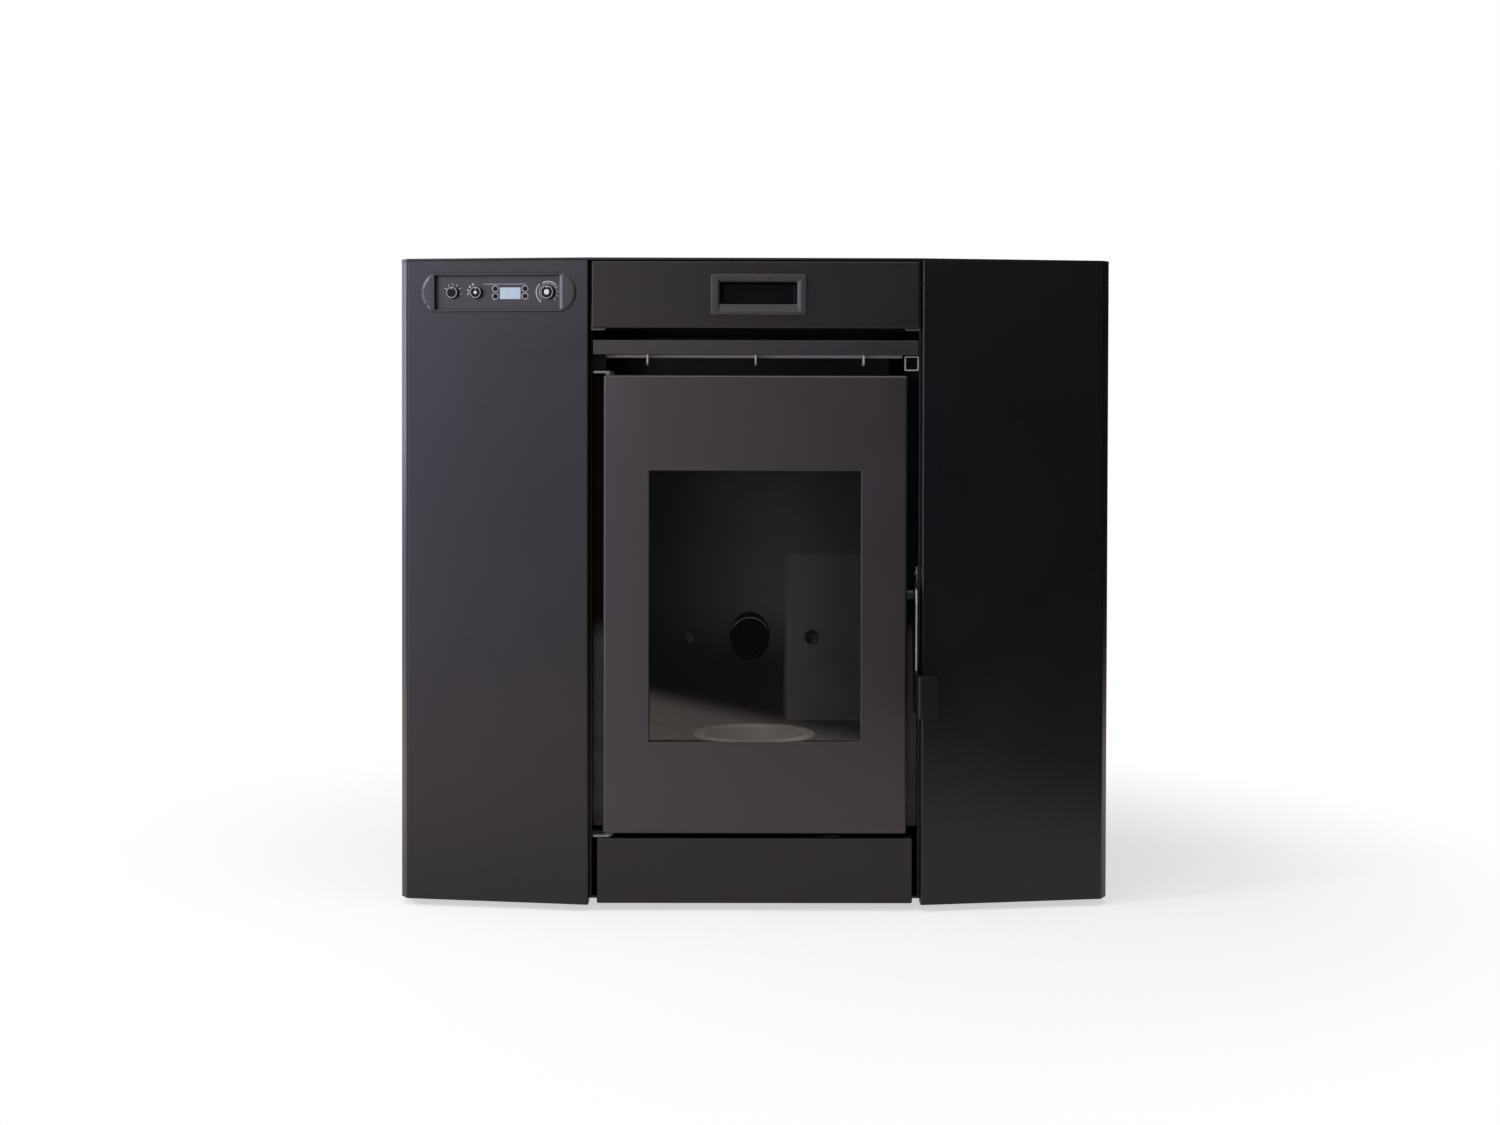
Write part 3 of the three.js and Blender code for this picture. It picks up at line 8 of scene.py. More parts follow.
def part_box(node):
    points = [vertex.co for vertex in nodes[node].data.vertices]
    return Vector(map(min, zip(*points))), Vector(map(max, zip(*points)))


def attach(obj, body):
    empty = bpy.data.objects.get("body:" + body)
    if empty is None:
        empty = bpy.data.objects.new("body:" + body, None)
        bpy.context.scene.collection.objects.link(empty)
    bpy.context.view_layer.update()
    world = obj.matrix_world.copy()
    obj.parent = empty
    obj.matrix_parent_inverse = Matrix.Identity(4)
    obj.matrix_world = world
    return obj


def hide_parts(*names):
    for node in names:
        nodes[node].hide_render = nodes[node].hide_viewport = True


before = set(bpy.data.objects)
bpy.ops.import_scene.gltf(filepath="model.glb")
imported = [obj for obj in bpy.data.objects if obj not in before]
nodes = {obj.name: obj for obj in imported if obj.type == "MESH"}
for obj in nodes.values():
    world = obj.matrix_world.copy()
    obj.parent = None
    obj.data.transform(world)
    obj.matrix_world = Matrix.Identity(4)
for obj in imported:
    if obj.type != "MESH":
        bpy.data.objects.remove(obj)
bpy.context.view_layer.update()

# ---- camera --------------------------------------------------------------------------------
# Stands a little left of the middle and slightly over half the stove's height, almost level,
# two and a half metres before the front.
eye = Vector((-0.0204, -2.8533, 0.6321))
pitch, yaw, roll = (math.radians(angle) for angle in (0.941, 0.297, 0.137))
forward = Vector((math.sin(yaw) * math.cos(pitch), math.cos(yaw) * math.cos(pitch), -math.sin(pitch)))
level = Vector((math.cos(yaw), -math.sin(yaw), 0))
upward = level.cross(forward)
right = math.cos(roll) * level + math.sin(roll) * upward
upright = -math.sin(roll) * level + math.cos(roll) * upward
bpy.ops.object.camera_add()
camera = bpy.context.object
camera.name = "camera"
camera.matrix_world = Matrix.Translation(eye) @ Matrix((right, upright, -forward)).transposed().to_4x4()
camera.data.sensor_width = 36
camera.data.lens = 50
camera.data.shift_y = -0.08
camera.data.clip_end = 100
bpy.context.scene.camera = camera
bpy.context.scene.view_settings.view_transform = "Standard"

# ---- studio --------------------------------------------------------------------------------
# White all around for the eye. Gloss and glass see a room that is light and cool on the left
# and dark and warm on the right, darkest low at the right, so the satin paint shades across.
cool, even, warm = (0.96, 0.92, 1.20), (1.05, 0.95, 1.02), (1.14, 0.92, 0.94)
room_levels = (
    (0.0, 0.7, cool), (0.1, 1.3, cool), (0.18, 3.0, cool), (0.25, 2.6, cool), (0.28, 1.0, cool),
    (0.31, 0.05, cool), (0.35, 0.02, even), (0.39, 0.6, even), (0.42, 2.2, even), (0.455, 2.2, even),
    (0.470, 0.05, even), (0.54, 0.02, even), (0.58, 0.03, warm), (0.66, 0.20, warm), (0.76, 0.20, warm),
    (0.86, 0.04, warm), (1.0, 0.03, warm),
)
behind_shade = 0.5
overhead_level = 1.0
flag_way = Vector((0.44, -0.89, -0.10)).normalized()
flag_edge = (0.93, 0.985)
flag_shade = 0.03
fill_level = 0.3
overhead_rise = (0.25, 0.65)
behind_turn = (-0.3, 0.4)

def link_node(tree, kind, values=(), **settings):
    """Adds a node with its settings, then fills its inputs: a value is set, a socket is linked."""
    made = tree.nodes.new(kind)
    for key, value in settings.items():
        setattr(made, key, value)
    for key, value in dict(values).items():
        if isinstance(value, bpy.types.NodeSocket):
            tree.links.new(value, made.inputs[key])
        else:
            made.inputs[key].default_value = value
    return made

def reckon(operation, *values):
    """One step of arithmetic on sockets and numbers, the first of them a socket."""
    tree = values[0].id_data
    return link_node(tree, "ShaderNodeMath", dict(enumerate(values)), operation=operation).outputs[0]

def times(*values):
    """The product of several values."""
    product = values[0]
    for value in values[1:]:
        product = reckon("MULTIPLY", product, value)
    return product

def mapped(value, start, end, low=0.0, high=1.0, smooth=False):
    """Carries a value from one range to another and holds it at the ends."""
    return link_node(
        value.id_data, "ShaderNodeMapRange",
        {"Value": value, "From Min": start, "From Max": end, "To Min": low, "To Max": high},
        interpolation_type="SMOOTHSTEP" if smooth else "LINEAR",
    ).outputs[0]

def two_tone(factor, dark, light):
    """A colour between two others, each a socket or three numbers."""
    ends = {
        key: value if isinstance(value, bpy.types.NodeSocket) else (*value, 1)
        for key, value in ((6, dark), (7, light))
    }
    return link_node(factor.id_data, "ShaderNodeMix", {0: factor, **ends}, data_type="RGBA").outputs[2]

def coordinate(place, axis):
    """One coordinate of a place."""
    return link_node(place.id_data, "ShaderNodeSeparateXYZ", {0: place}).outputs[axis]

world = bpy.data.worlds.new("studio")
bpy.context.scene.world = world
world.use_nodes = True
tree = world.node_tree
tree.nodes.clear()
sky = link_node(tree, "ShaderNodeTexCoord").outputs["Generated"]
aim = link_node(tree, "ShaderNodeVectorMath", {0: sky, 1: flag_way}, operation="DOT_PRODUCT")
flag = mapped(aim.outputs["Value"], *flag_edge, 1.0, flag_shade, smooth=True)
room = link_node(tree, "ShaderNodeValToRGB", {"Fac": mapped(coordinate(sky, "X"), -1.0, 1.0)})
top_level = max(level for _, level, _ in room_levels) * max(cool)
for index, (place, level, tint) in enumerate(room_levels):
    stops = room.color_ramp.elements
    stop = stops[index] if index in (0, 1) else stops.new(place)
    stop.position = place
    stop.color = (*(level / top_level * channel for channel in tint), 1)
overhead = mapped(coordinate(sky, "Z"), *overhead_rise)
room_colour = two_tone(overhead, room.outputs["Color"], [overhead_level / top_level] * 3)
behind = mapped(coordinate(sky, "Y"), *behind_turn, 1.0, behind_shade)
path = link_node(tree, "ShaderNodeLightPath").outputs
mirror = reckon("MAXIMUM", path["Is Glossy Ray"], path["Is Transmission Ray"])
lively = times(flag, mapped(mirror, 0.0, 1.0, fill_level, 1.0), behind, top_level)
strength = link_node(
    tree, "ShaderNodeMix", {0: path["Is Camera Ray"], 2: lively, 3: 1.0}, data_type="FLOAT"
)
hue = two_tone(path["Is Camera Ray"], room_colour, (1, 1, 1))
sky_light = link_node(tree, "ShaderNodeBackground", {"Color": hue, "Strength": strength.outputs[0]})
link_node(tree, "ShaderNodeOutputWorld", {"Surface": sky_light.outputs[0]})

def softbox(name, place, target, size, level, tint=(1, 1, 1)):
    """A square soft lamp whose face has a given radiance, so 1 is as bright as white paper."""
    bpy.ops.object.light_add(type="AREA", location=place)
    lamp = bpy.context.object
    lamp.name = name
    lamp.rotation_euler = (Vector(target) - Vector(place)).to_track_quat("-Z", "Y").to_euler()
    lamp.data.size = size
    lamp.data.energy = level * math.pi * size * size
    lamp.data.color = tint
    lamp.visible_camera = False
    return lamp

softbox("key_softbox", (-1.45, -2.6, 1.4), (-0.1, -0.2, 0.45), 1.2, 0.5, (1.0, 0.94, 1.10))
softbox("window_spot", (-1.35, -2.56, 1.40), (0.1, -0.24, 0.4), 0.08, 90)
softbox("edge_softbox", (-2.3, -1.45, 1.6), (0.0, -0.2, 0.5), 0.35, 36, (1.0, 0.96, 1.08))
softbox("strip_softbox", (-2.2, 0.74, 0.78), (-0.45, -0.2, 0.72), 0.6, 2.9, (0.97, 0.95, 1.10))
softbox("top_softbox", (-0.2, -0.5, 2.9), (0.0, 0.0, 0.0), 2.2, 0.8)

floor_reach = 2.35
floor_lift = 0.58  # paper white under the shadow
mirror_lift = 0.28
floor_tint = (1.10, 0.93, 0.88)
floor_fade = (0.56, 1.15)  # from the middle outwards, the paper turns into plain light
slant_run = 1.5
bpy.ops.mesh.primitive_circle_add(vertices=96, radius=floor_reach, fill_type="NGON")
floor = bpy.context.object
floor.name = "floor"
paper = bpy.data.materials.new("floor_paper")
paper.use_nodes = True
tree = paper.node_tree
tree.nodes.clear()
spot = link_node(tree, "ShaderNodeTexCoord").outputs["Object"]
away = link_node(tree, "ShaderNodeVectorMath", {0: spot}, operation="LENGTH").outputs["Value"]
path = link_node(tree, "ShaderNodeLightPath").outputs
camera_ray = path["Is Camera Ray"]
seen = camera_ray
for kind in ("Is Glossy Ray", "Is Transmission Ray"):
    seen = reckon("MAXIMUM", seen, path[kind])
far = times(mapped(away, *floor_fade, smooth=True), seen)
lift = times(mapped(camera_ray, 0.0, 1.0, mirror_lift, floor_lift), seen)
matt = link_node(tree, "ShaderNodeBsdfDiffuse", {"Color": (0.86, 0.86, 0.86, 1)})
floor_hue = two_tone(camera_ray, floor_tint, (1, 1, 1))
pale = link_node(tree, "ShaderNodeEmission", {"Color": floor_hue, "Strength": lift})
near = link_node(tree, "ShaderNodeAddShader", {0: matt.outputs[0], 1: pale.outputs[0]})
slant = reckon("SUBTRACT", times(coordinate(spot, "X"), slant_run), coordinate(spot, "Y"))
floor_fall = mapped(slant, 1.72, 2.06, 0.80, 0.06, smooth=True)
floor_level = times(floor_fall, mapped(slant, -0.3, 2.1, 1.25, 0.75))
glow_level = link_node(tree, "ShaderNodeMix", {0: camera_ray, 2: floor_level, 3: 1.0}, data_type="FLOAT")
glow = link_node(tree, "ShaderNodeEmission", {"Color": floor_hue, "Strength": glow_level.outputs[0]})
blend = link_node(tree, "ShaderNodeMixShader", {0: far, 1: near.outputs[0], 2: glow.outputs[0]})
link_node(tree, "ShaderNodeOutputMaterial", {"Surface": blend.outputs[0]})
floor.data.materials.append(paper)

# ---- casing wings --------------------------------------------------------------------------
# Two sheets of 2 mm steel, each folded into a front that sweeps back, a chamfered corner, a
# long side and a short return, powder coated in a satin near-black.
wing_sheet = 0.002
wing_bend = 0.0026
wing_sweep = 0.035
corner_across = 0.009
corner_back = 0.015
inner_flange = 0.024
rear_return = 0.018
front_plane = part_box("wing_right")[0].y

def leave():
    """Closes edit mode."""
    bpy.ops.object.mode_set(mode="OBJECT")

def start_fresh():
    """Leaves edit mode and selects nothing."""
    if bpy.context.object and bpy.context.object.mode != "OBJECT":
        leave()
    bpy.ops.object.select_all(action="DESELECT")

def hold(piece):
    """Selects one closed piece alone and makes it the active one."""
    start_fresh()
    piece.select_set(True)
    bpy.context.view_layer.objects.active = piece

def new_piece(shape, **sizes):
    """A new mesh of one of the plain shapes, to be worked on."""
    start_fresh()
    getattr(bpy.ops.mesh, f"primitive_{shape}_add")(**sizes)
    return bpy.context.object

def settle():
    """Puts a piece's place, turn and scale into its mesh."""
    bpy.ops.object.transform_apply(location=True, rotation=True, scale=True)

def take_all():
    """Selects all of the open piece."""
    bpy.ops.mesh.select_all(action="SELECT")

def face_out():
    """Turns all faces of the open piece outwards."""
    take_all()
    bpy.ops.mesh.normals_make_consistent(inside=False)

def bevel(width, segments):
    """Rounds the selected edges of the open piece."""
    bpy.ops.mesh.bevel(offset=width, segments=segments, affect="EDGES")

def clear_faces():
    """Deletes the selected faces of the open piece."""
    bpy.ops.mesh.delete(type="FACE")

def inset(width, depth=0.0):
    """Draws a smaller outline inside the selected faces, which move by a depth."""
    bpy.ops.mesh.inset(thickness=width, depth=depth)

def extrude(step):
    """Draws the selected part of the open piece out by a step."""
    bpy.ops.mesh.extrude_region_move(TRANSFORM_OT_translate={"value": step})

def edit(piece, kind="FACE"):
    """Opens one piece in edit mode with nothing selected."""
    hold(piece)
    bpy.ops.object.mode_set(mode="EDIT")
    bpy.ops.mesh.select_mode(type=kind)
    bpy.ops.mesh.select_all(action="DESELECT")

def pick(piece, kind, wanted):
    """Selects the faces, edges or corners of the open piece for which wanted(place, way) is true."""
    bpy.ops.mesh.select_mode(type=kind)
    bpy.ops.mesh.select_all(action="DESELECT")
    leave()
    mesh = piece.data
    if kind == "FACE":
        for face in mesh.polygons:
            face.select = bool(wanted(face.center, face.normal))
    elif kind == "EDGE":
        for edge in mesh.edges:
            start, end = (mesh.vertices[i].co for i in edge.vertices)
            edge.select = bool(wanted((start + end) / 2, (end - start).normalized()))
    else:
        for corner in mesh.vertices:
            corner.select = bool(wanted(corner.co, corner.normal))
    bpy.ops.object.mode_set(mode="EDIT")

def round_edges(piece, width, segments, wanted):
    """Rounds the edges of a closed piece for which wanted(place, way) is true."""
    edit(piece)
    pick(piece, "EDGE", wanted)
    bevel(width, segments)
    leave()

def apply_modifier(piece, kind, **settings):
    """Adds one modifier to a closed piece and applies it."""
    hold(piece)
    modifier = piece.modifiers.new(kind.lower(), kind)
    for key, value in settings.items():
        setattr(modifier, key, value)
    bpy.ops.object.modifier_apply(modifier=modifier.name)

def soften(piece, width=0.0004, segments=2, angle=30):
    """Rounds a piece's sharp edges by a small width and smooths its shading."""
    if width:
        apply_modifier(
            piece, "BEVEL", width=width, segments=segments, limit_method="ANGLE",
            angle_limit=math.radians(angle), harden_normals=False,
        )
    hold(piece)
    bpy.ops.object.shade_smooth_by_angle(angle=math.radians(angle))
    apply_modifier(piece, "WEIGHTED_NORMAL", keep_sharp=True, weight=60)

def fit(piece, name, body, slot, material, *stands_for):
    """Names a finished piece, gives it its material and hangs it on its body."""
    hold(piece)
    settle()
    piece.name = name
    piece.data.name = name
    piece.data.materials.clear()
    piece.data.materials.append(material)
    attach(piece, body)
    if stands_for:
        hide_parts(*stands_for)
    return piece

def folded_strip(corners, span, axis, bend):
    """A strip run through corners and bent round at each. Corners are points in the plane across
    the axis, and span is the strip's reach along it. It has no thickness yet."""
    def point(corner, along):
        a, b = corner
        return Vector({"X": (along, a, b), "Y": (a, along, b), "Z": (a, b, along)}[axis])

    first, second = corners[:2]
    run = point(second, 0) - point(first, 0)
    across = point((0, 0), 1)
    middle = (point(first, span[0]) + point(second, span[1])) / 2
    strip = new_piece("plane", size=1)
    strip.matrix_world = Matrix.Translation(middle) @ Matrix((
        run, across * (span[1] - span[0]), run.normalized().cross(across),
    )).transposed().to_4x4()
    settle()
    edit(strip, "EDGE")
    tip = (point(second, span[0]) + point(second, span[1])) / 2
    pick(strip, "EDGE", lambda place, way: (place - tip).length < 1e-6)
    for before, after in zip(corners[1:], corners[2:]):
        step = point(after, 0) - point(before, 0)
        extrude(step)
    folds = [(point(c, span[0]) + point(c, span[1])) / 2 for c in corners[1:-1]]
    if bend and folds:
        pick(strip, "EDGE", lambda place, way: any((place - fold).length < 1e-6 for fold in folds))
        bevel(bend, 4)
    take_all()
    bpy.ops.mesh.remove_doubles(threshold=1e-6)
    leave()
    return strip

def thicken(piece, sheet, side=-1):
    """Gives a strip or a pan its sheet's thickness, behind its faces or before them."""
    apply_modifier(piece, "SOLIDIFY", thickness=sheet, offset=side, use_even_offset=True)
    return piece

def planes(x=(), y=(), z=()):
    """Cutting planes across the axes, each as a point and a normal."""
    return (
        [((at, 0, 0), (1, 0, 0)) for at in x] + [((0, at, 0), (0, 1, 0)) for at in y]
        + [((0, 0, at), (0, 0, 1)) for at in z]
    )

def score(piece, region, cuts):
    """Splits the faces in a region along planes, each given by a point and a normal."""
    edit(piece)
    for point, way in cuts:
        pick(piece, "FACE", region)
        bpy.ops.mesh.bisect(plane_co=point, plane_no=way)

def finish_nodes(name, roughness, metallic=0.0, specular=0.5):
    """A new material with its even values set; the caller feeds colour, roughness and bump."""
    material = bpy.data.materials.new(name)
    material.use_nodes = True
    tree = material.node_tree
    tree.nodes.clear()
    shader = link_node(
        tree, "ShaderNodeBsdfPrincipled",
        {"Roughness": roughness, "Metallic": metallic, "Specular IOR Level": specular},
    )
    link_node(tree, "ShaderNodeOutputMaterial", {"Surface": shader.outputs[0]})
    return material, shader, link_node(tree, "ShaderNodeTexCoord").outputs["Object"]

def feed(shader, entry, value):
    """Links a value to one of a shader's inputs."""
    shader.id_data.links.new(value, shader.inputs[entry])

def grain(place, scale, detail=2.0, stretch=None):
    """Fine noise over the object's own place, drawn out along an axis where stretch says so."""
    tree = place.id_data
    if stretch:
        place = link_node(tree, "ShaderNodeMapping", {"Vector": place, "Scale": stretch}).outputs[0]
    noise = link_node(tree, "ShaderNodeTexNoise", {"Vector": place, "Scale": scale, "Detail": detail})
    return noise.outputs["Fac"]

def ranged(value, low, high, span=(0.3, 0.7)):
    """Spreads a noise value over a range."""
    return mapped(value, *span, low, high)

def relief(shader, height, depth):
    """Bumps a surface by a height up to a depth."""
    bump = link_node(shader.id_data, "ShaderNodeBump", {"Height": height, "Distance": depth, "Strength": 1.0})
    feed(shader, "Normal", bump.outputs[0])

def powder_coat(name, dark, light, gloss=(0.25, 0.32), peel=0.00005, specular=0.5):
    """Sprayed powder paint: a fine orange peel, faint cloudiness and slightly uneven satin."""
    wide = (0.1, 0.9)
    material, shader, place = finish_nodes(name, sum(gloss) / 2, specular=specular)
    cloud = ranged(grain(place, 6, 2), 0.2, 0.6, wide)
    speck = ranged(grain(place, 900, 2), 0.0, 0.3, wide)
    feed(shader, "Base Color", two_tone(reckon("ADD", cloud, speck), dark, light))
    feed(shader, "Roughness", ranged(grain(place, 12, 2), *gloss, wide))
    relief(shader, grain(place, 520, 1), peel)
    return material

casing_paint = powder_coat("casing_paint", (0.0100, 0.0085, 0.0098), (0.0150, 0.0128, 0.0145))

wing_low, wing_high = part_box("wing_right")
opening_half = wing_low.x
body_half = wing_high.x
wing_corners = [
    (opening_half, front_plane + inner_flange),
    (opening_half, front_plane),
    (body_half - corner_across, front_plane + wing_sweep),
    (body_half, front_plane + wing_sweep + corner_back),
    (body_half, wing_high.y),
    (body_half - rear_return, wing_high.y),
]
wing_right = folded_strip(wing_corners, (wing_low.z, wing_high.z), "Z", wing_bend)
thicken(wing_right, wing_sheet)
soften(wing_right, 0.0003)
fit(wing_right, "casing_wing_right", "stove", "powder_coat", casing_paint, "wing_right")

# The left wing is the same sheet turned over, with an opening for the control panel.
panel_angle = math.atan2(wing_sweep, body_half - corner_across - opening_half)
panel_origin = Vector((-0.323, front_plane + (0.323 - opening_half) * math.tan(panel_angle), 0.777))
panel_across = Vector((math.cos(panel_angle), -math.sin(panel_angle), 0))
panel_inwards = Vector((math.sin(panel_angle), math.cos(panel_angle), 0))
panel_hole = (0.1685, 0.046)
left_corners = [(-x, y) for x, y in wing_corners]
wing_left = folded_strip(left_corners, (wing_low.z, wing_high.z), "Z", wing_bend)
on_front = lambda place, way: abs((place - panel_origin).dot(panel_inwards)) < 0.001
score(wing_left, on_front, [
    (panel_origin + side * panel_across * panel_hole[0] / 2, panel_across) for side in (-1, 1)
] + [
    (panel_origin + Vector((0, 0, side * panel_hole[1] / 2)), (0, 0, 1)) for side in (-1, 1)
])
pick(wing_left, "FACE", lambda place, way: (place - panel_origin).length < 0.005)
clear_faces()
thicken(wing_left, wing_sheet, side=1)
soften(wing_left, 0)
fit(wing_left, "casing_wing_left", "stove", "powder_coat", casing_paint, "wing_left")

# ---- top cover -----------------------------------------------------------------------------
# A 3 mm plate over the whole stove, its front following the wings' sweep, laid on the wings'
# top edges and held by countersunk screws along the back.
cover_low, cover_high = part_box("top_cover")

def prism(outline, axis, span):
    """A closed body with the given outline across an axis: one face filled, then drawn out."""
    def point(corner, along):
        a, b = corner
        return {"X": (along, a, b), "Y": (a, along, b), "Z": (a, b, along)}[axis]

    count = len(outline)
    body = new_piece("circle", vertices=count, radius=0.01, fill_type="NGON")
    for corner, place in zip(body.data.vertices, outline):
        corner.co = point(place, span[0])
    edit(body)
    take_all()
    reach = Vector(point((0, 0), span[1] - span[0]))
    extrude(reach)
    face_out()
    leave()
    return body

cover_front = wing_corners[1:5]
cover_outline = cover_front + [(-x, y) for x, y in reversed(cover_front)]
cover = prism(cover_outline, "Z", (cover_low.z, cover_high.z))
soften(cover, 0.0006, 3)
fit(cover, "casing_top_cover", "stove", "powder_coat", casing_paint, "top_cover")

cover_screws = [(side * x, cover_high.y - 0.012) for side in (-1, 1) for x in (0.09, 0.25, 0.41)]
screw_black = powder_coat("black_screws", (0.012, 0.012, 0.012), (0.03, 0.03, 0.03), (0.3, 0.5))

def socket_screw(name, place, way, radius, height, body="stove", material=None, slot="black_steel"):
    """A low button screw with a hexagon socket, its seat at place and its head along way."""
    screw = new_piece("cylinder", vertices=24, radius=radius, depth=height)
    edit(screw)
    pick(screw, "EDGE", lambda spot, run: spot.z > height * 0.49 and abs(run.z) < 0.5)
    bevel(min(height * 0.6, radius * 0.45), 4)
    pick(screw, "FACE", lambda spot, run: spot.z > height * 0.49 and run.z > 0.99)
    inset(radius * 0.12)
    inset(radius * 0.02, -height * 0.55)
    leave()
    way = Vector(way).normalized()
    turn = way.to_track_quat("Z", "Y").to_matrix().to_4x4()
    screw.matrix_world = Matrix.Translation(Vector(place) + way * height / 2) @ turn
    soften(screw, 0)
    return fit(screw, name, body, slot, material or screw_black)

for index, (x, y) in enumerate(cover_screws):
    socket_screw(f"cover_screw_{index}", (x, y, cover_high.z - 0.0004), (0, 0, 1), 0.0045, 0.0018)

# ---- chassis sides and base ----------------------------------------------------------------
# Black steel sheets inside the casing: one at each side of the opening and the floor plate
# that carries everything. Their front edges show as thin strips beside the door.
chassis_paint = powder_coat("chassis_paint", (0.0060, 0.0055, 0.0060), (0.0105, 0.0095, 0.0100))

def repaint(material, *labels):
    """Gives solids that are carried over as they are their material."""
    for label in labels:
        nodes[label].data.materials[0] = material

repaint(chassis_paint, "chassis_side_left", "chassis_side_right", "base_plate")

# ---- pellet drawer -------------------------------------------------------------------------
# A folded 2 mm front over the top of the opening, with soft edges and a black moulded flush
# grip snapped into it. Behind it a zinc plated tray holds the pellets.
front_sheet = 0.002
front_edge = 0.0022

def block(low, high):
    """A box between two corners."""
    piece = new_piece("cube", size=1, location=(Vector(low) + Vector(high)) / 2)
    piece.scale = Vector(high) - Vector(low)
    settle()
    return piece

def open_box(low, high, edge, segments):
    """A box without a lid, its other edges rounded."""
    piece = block(low, high)
    edit(piece)
    pick(piece, "FACE", lambda spot, way: way.z > 0.9)
    clear_faces()
    pick(piece, "EDGE", lambda spot, run: spot.z < high.z - 0.001)
    bevel(edge, segments)
    leave()
    return piece

def pan(low, high, edge):
    """The front skin of a folded pan between two corners: its sides reach back, its back is open."""
    skin = block(low, high)
    edit(skin)
    pick(skin, "FACE", lambda place, way: way.y > 0.9)
    clear_faces()
    pick(skin, "EDGE", lambda place, way: (
        place.y < low[1] + 1e-5 or abs(way.y) > 0.9
    ))
    bevel(edge, 4)
    leave()
    return skin

def open_front(skin, x_span, z_span, lip=0.0):
    """Cuts a rectangular opening in a pan's front and folds a short lip back round it."""
    front = min(corner.co.y for corner in skin.data.vertices)
    on_face = lambda place, way: abs(place.y - front) < 1e-4 and way.y < -0.9
    score(skin, on_face, planes(x=x_span, z=z_span))
    inside = lambda place, way: (
        on_face(place, way) and x_span[0] < place.x < x_span[1] and z_span[0] < place.z < z_span[1]
    )
    pick(skin, "FACE", inside)
    if lip:
        extrude((0, lip, 0))
    clear_faces()
    leave()

drawer_low, drawer_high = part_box("pellet_drawer_front")
grip_low, grip_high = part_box("drawer_grip")
grip_frame = 0.0085
drawer_front = pan(drawer_low, drawer_high, front_edge)
open_front(
    drawer_front,
    (grip_low.x + grip_frame, grip_high.x - grip_frame),
    (grip_low.z + grip_frame, grip_high.z - grip_frame),
)
thicken(drawer_front, front_sheet)
soften(drawer_front, 0)
drawer_paint = powder_coat("drawer_paint", (0.0150, 0.0122, 0.0135), (0.0215, 0.0178, 0.0195))
fit(drawer_front, "drawer_front", "pellet_drawer", "powder_coat", drawer_paint, "pellet_drawer_front")

# The grip: a raised frame with rolled corners round a deep cup. Its lower border is wide and
# slopes in, so that fingers slide under the upper edge.
def moulded_plastic(name, dark, light, deep, span, gloss=(0.30, 0.40), shine=0.6):
    """Moulded plastic with a fine spark texture, with painted shade that makes it darker and less glossy
    towards the bottom of a hollow.
    """
    material, shader, place = finish_nodes(name, sum(gloss) / 2)
    painted_shade = mapped(coordinate(place, "Y"), *span, smooth=True)
    skin = two_tone(ranged(grain(place, 60, 4), 0.0, 1.0), dark, light)
    feed(shader, "Base Color", two_tone(painted_shade, skin, deep))
    feed(shader, "Specular IOR Level", mapped(painted_shade, 0.0, 1.0, shine, shine / 5))
    feed(shader, "Roughness", ranged(grain(place, 90, 3), *gloss))
    relief(shader, grain(place, 1400, 2), 0.00002)
    return material

# The grip's cup is painted near black and dull towards its bottom: painted shade.
grip_plastic = moulded_plastic(
    "grip_plastic", (0.052, 0.047, 0.050), (0.066, 0.060, 0.064), (0.0016, 0.0018, 0.0026),
    (grip_low.y + 0.0032, grip_low.y + 0.0060),
)
grip_middle = (grip_low + grip_high) / 2

def rounded_ring(half, rise, radius, y, lift=0.0, aside=0.0):
    """Points round a rectangle with rounded corners about the grip's middle, at one depth."""
    points, steps = [], 5
    for quarter, (side, up) in enumerate(((1, 1), (-1, 1), (-1, -1), (1, -1))):
        for step in range(steps + 1):
            angle = math.pi / 2 * (quarter + step / steps)
            points.append((
                grip_middle.x + aside + side * (half - radius) + radius * math.cos(angle), y,
                grip_middle.z + lift + up * (rise - radius) + radius * math.sin(angle),
            ))
    return points

def loft(rings):
    """A body drawn through rings of equally many points: the first ring is filled, then its face
    is extruded to each next one."""
    body = new_piece("circle", vertices=len(rings[0]), radius=0.01, fill_type="NGON")
    for corner, place in zip(body.data.vertices, rings[0]):
        corner.co = place
    edit(body)
    take_all()
    for before, after in zip(rings, rings[1:]):
        extrude((0, 0, 0))
        leave()
        for corner in body.data.vertices:
            if corner.select:
                nearest = min(range(len(before)), key=lambda i: (Vector(before[i]) - corner.co).length)
                corner.co = after[nearest]
        bpy.ops.object.mode_set(mode="EDIT")
    face_out()
    leave()
    return body

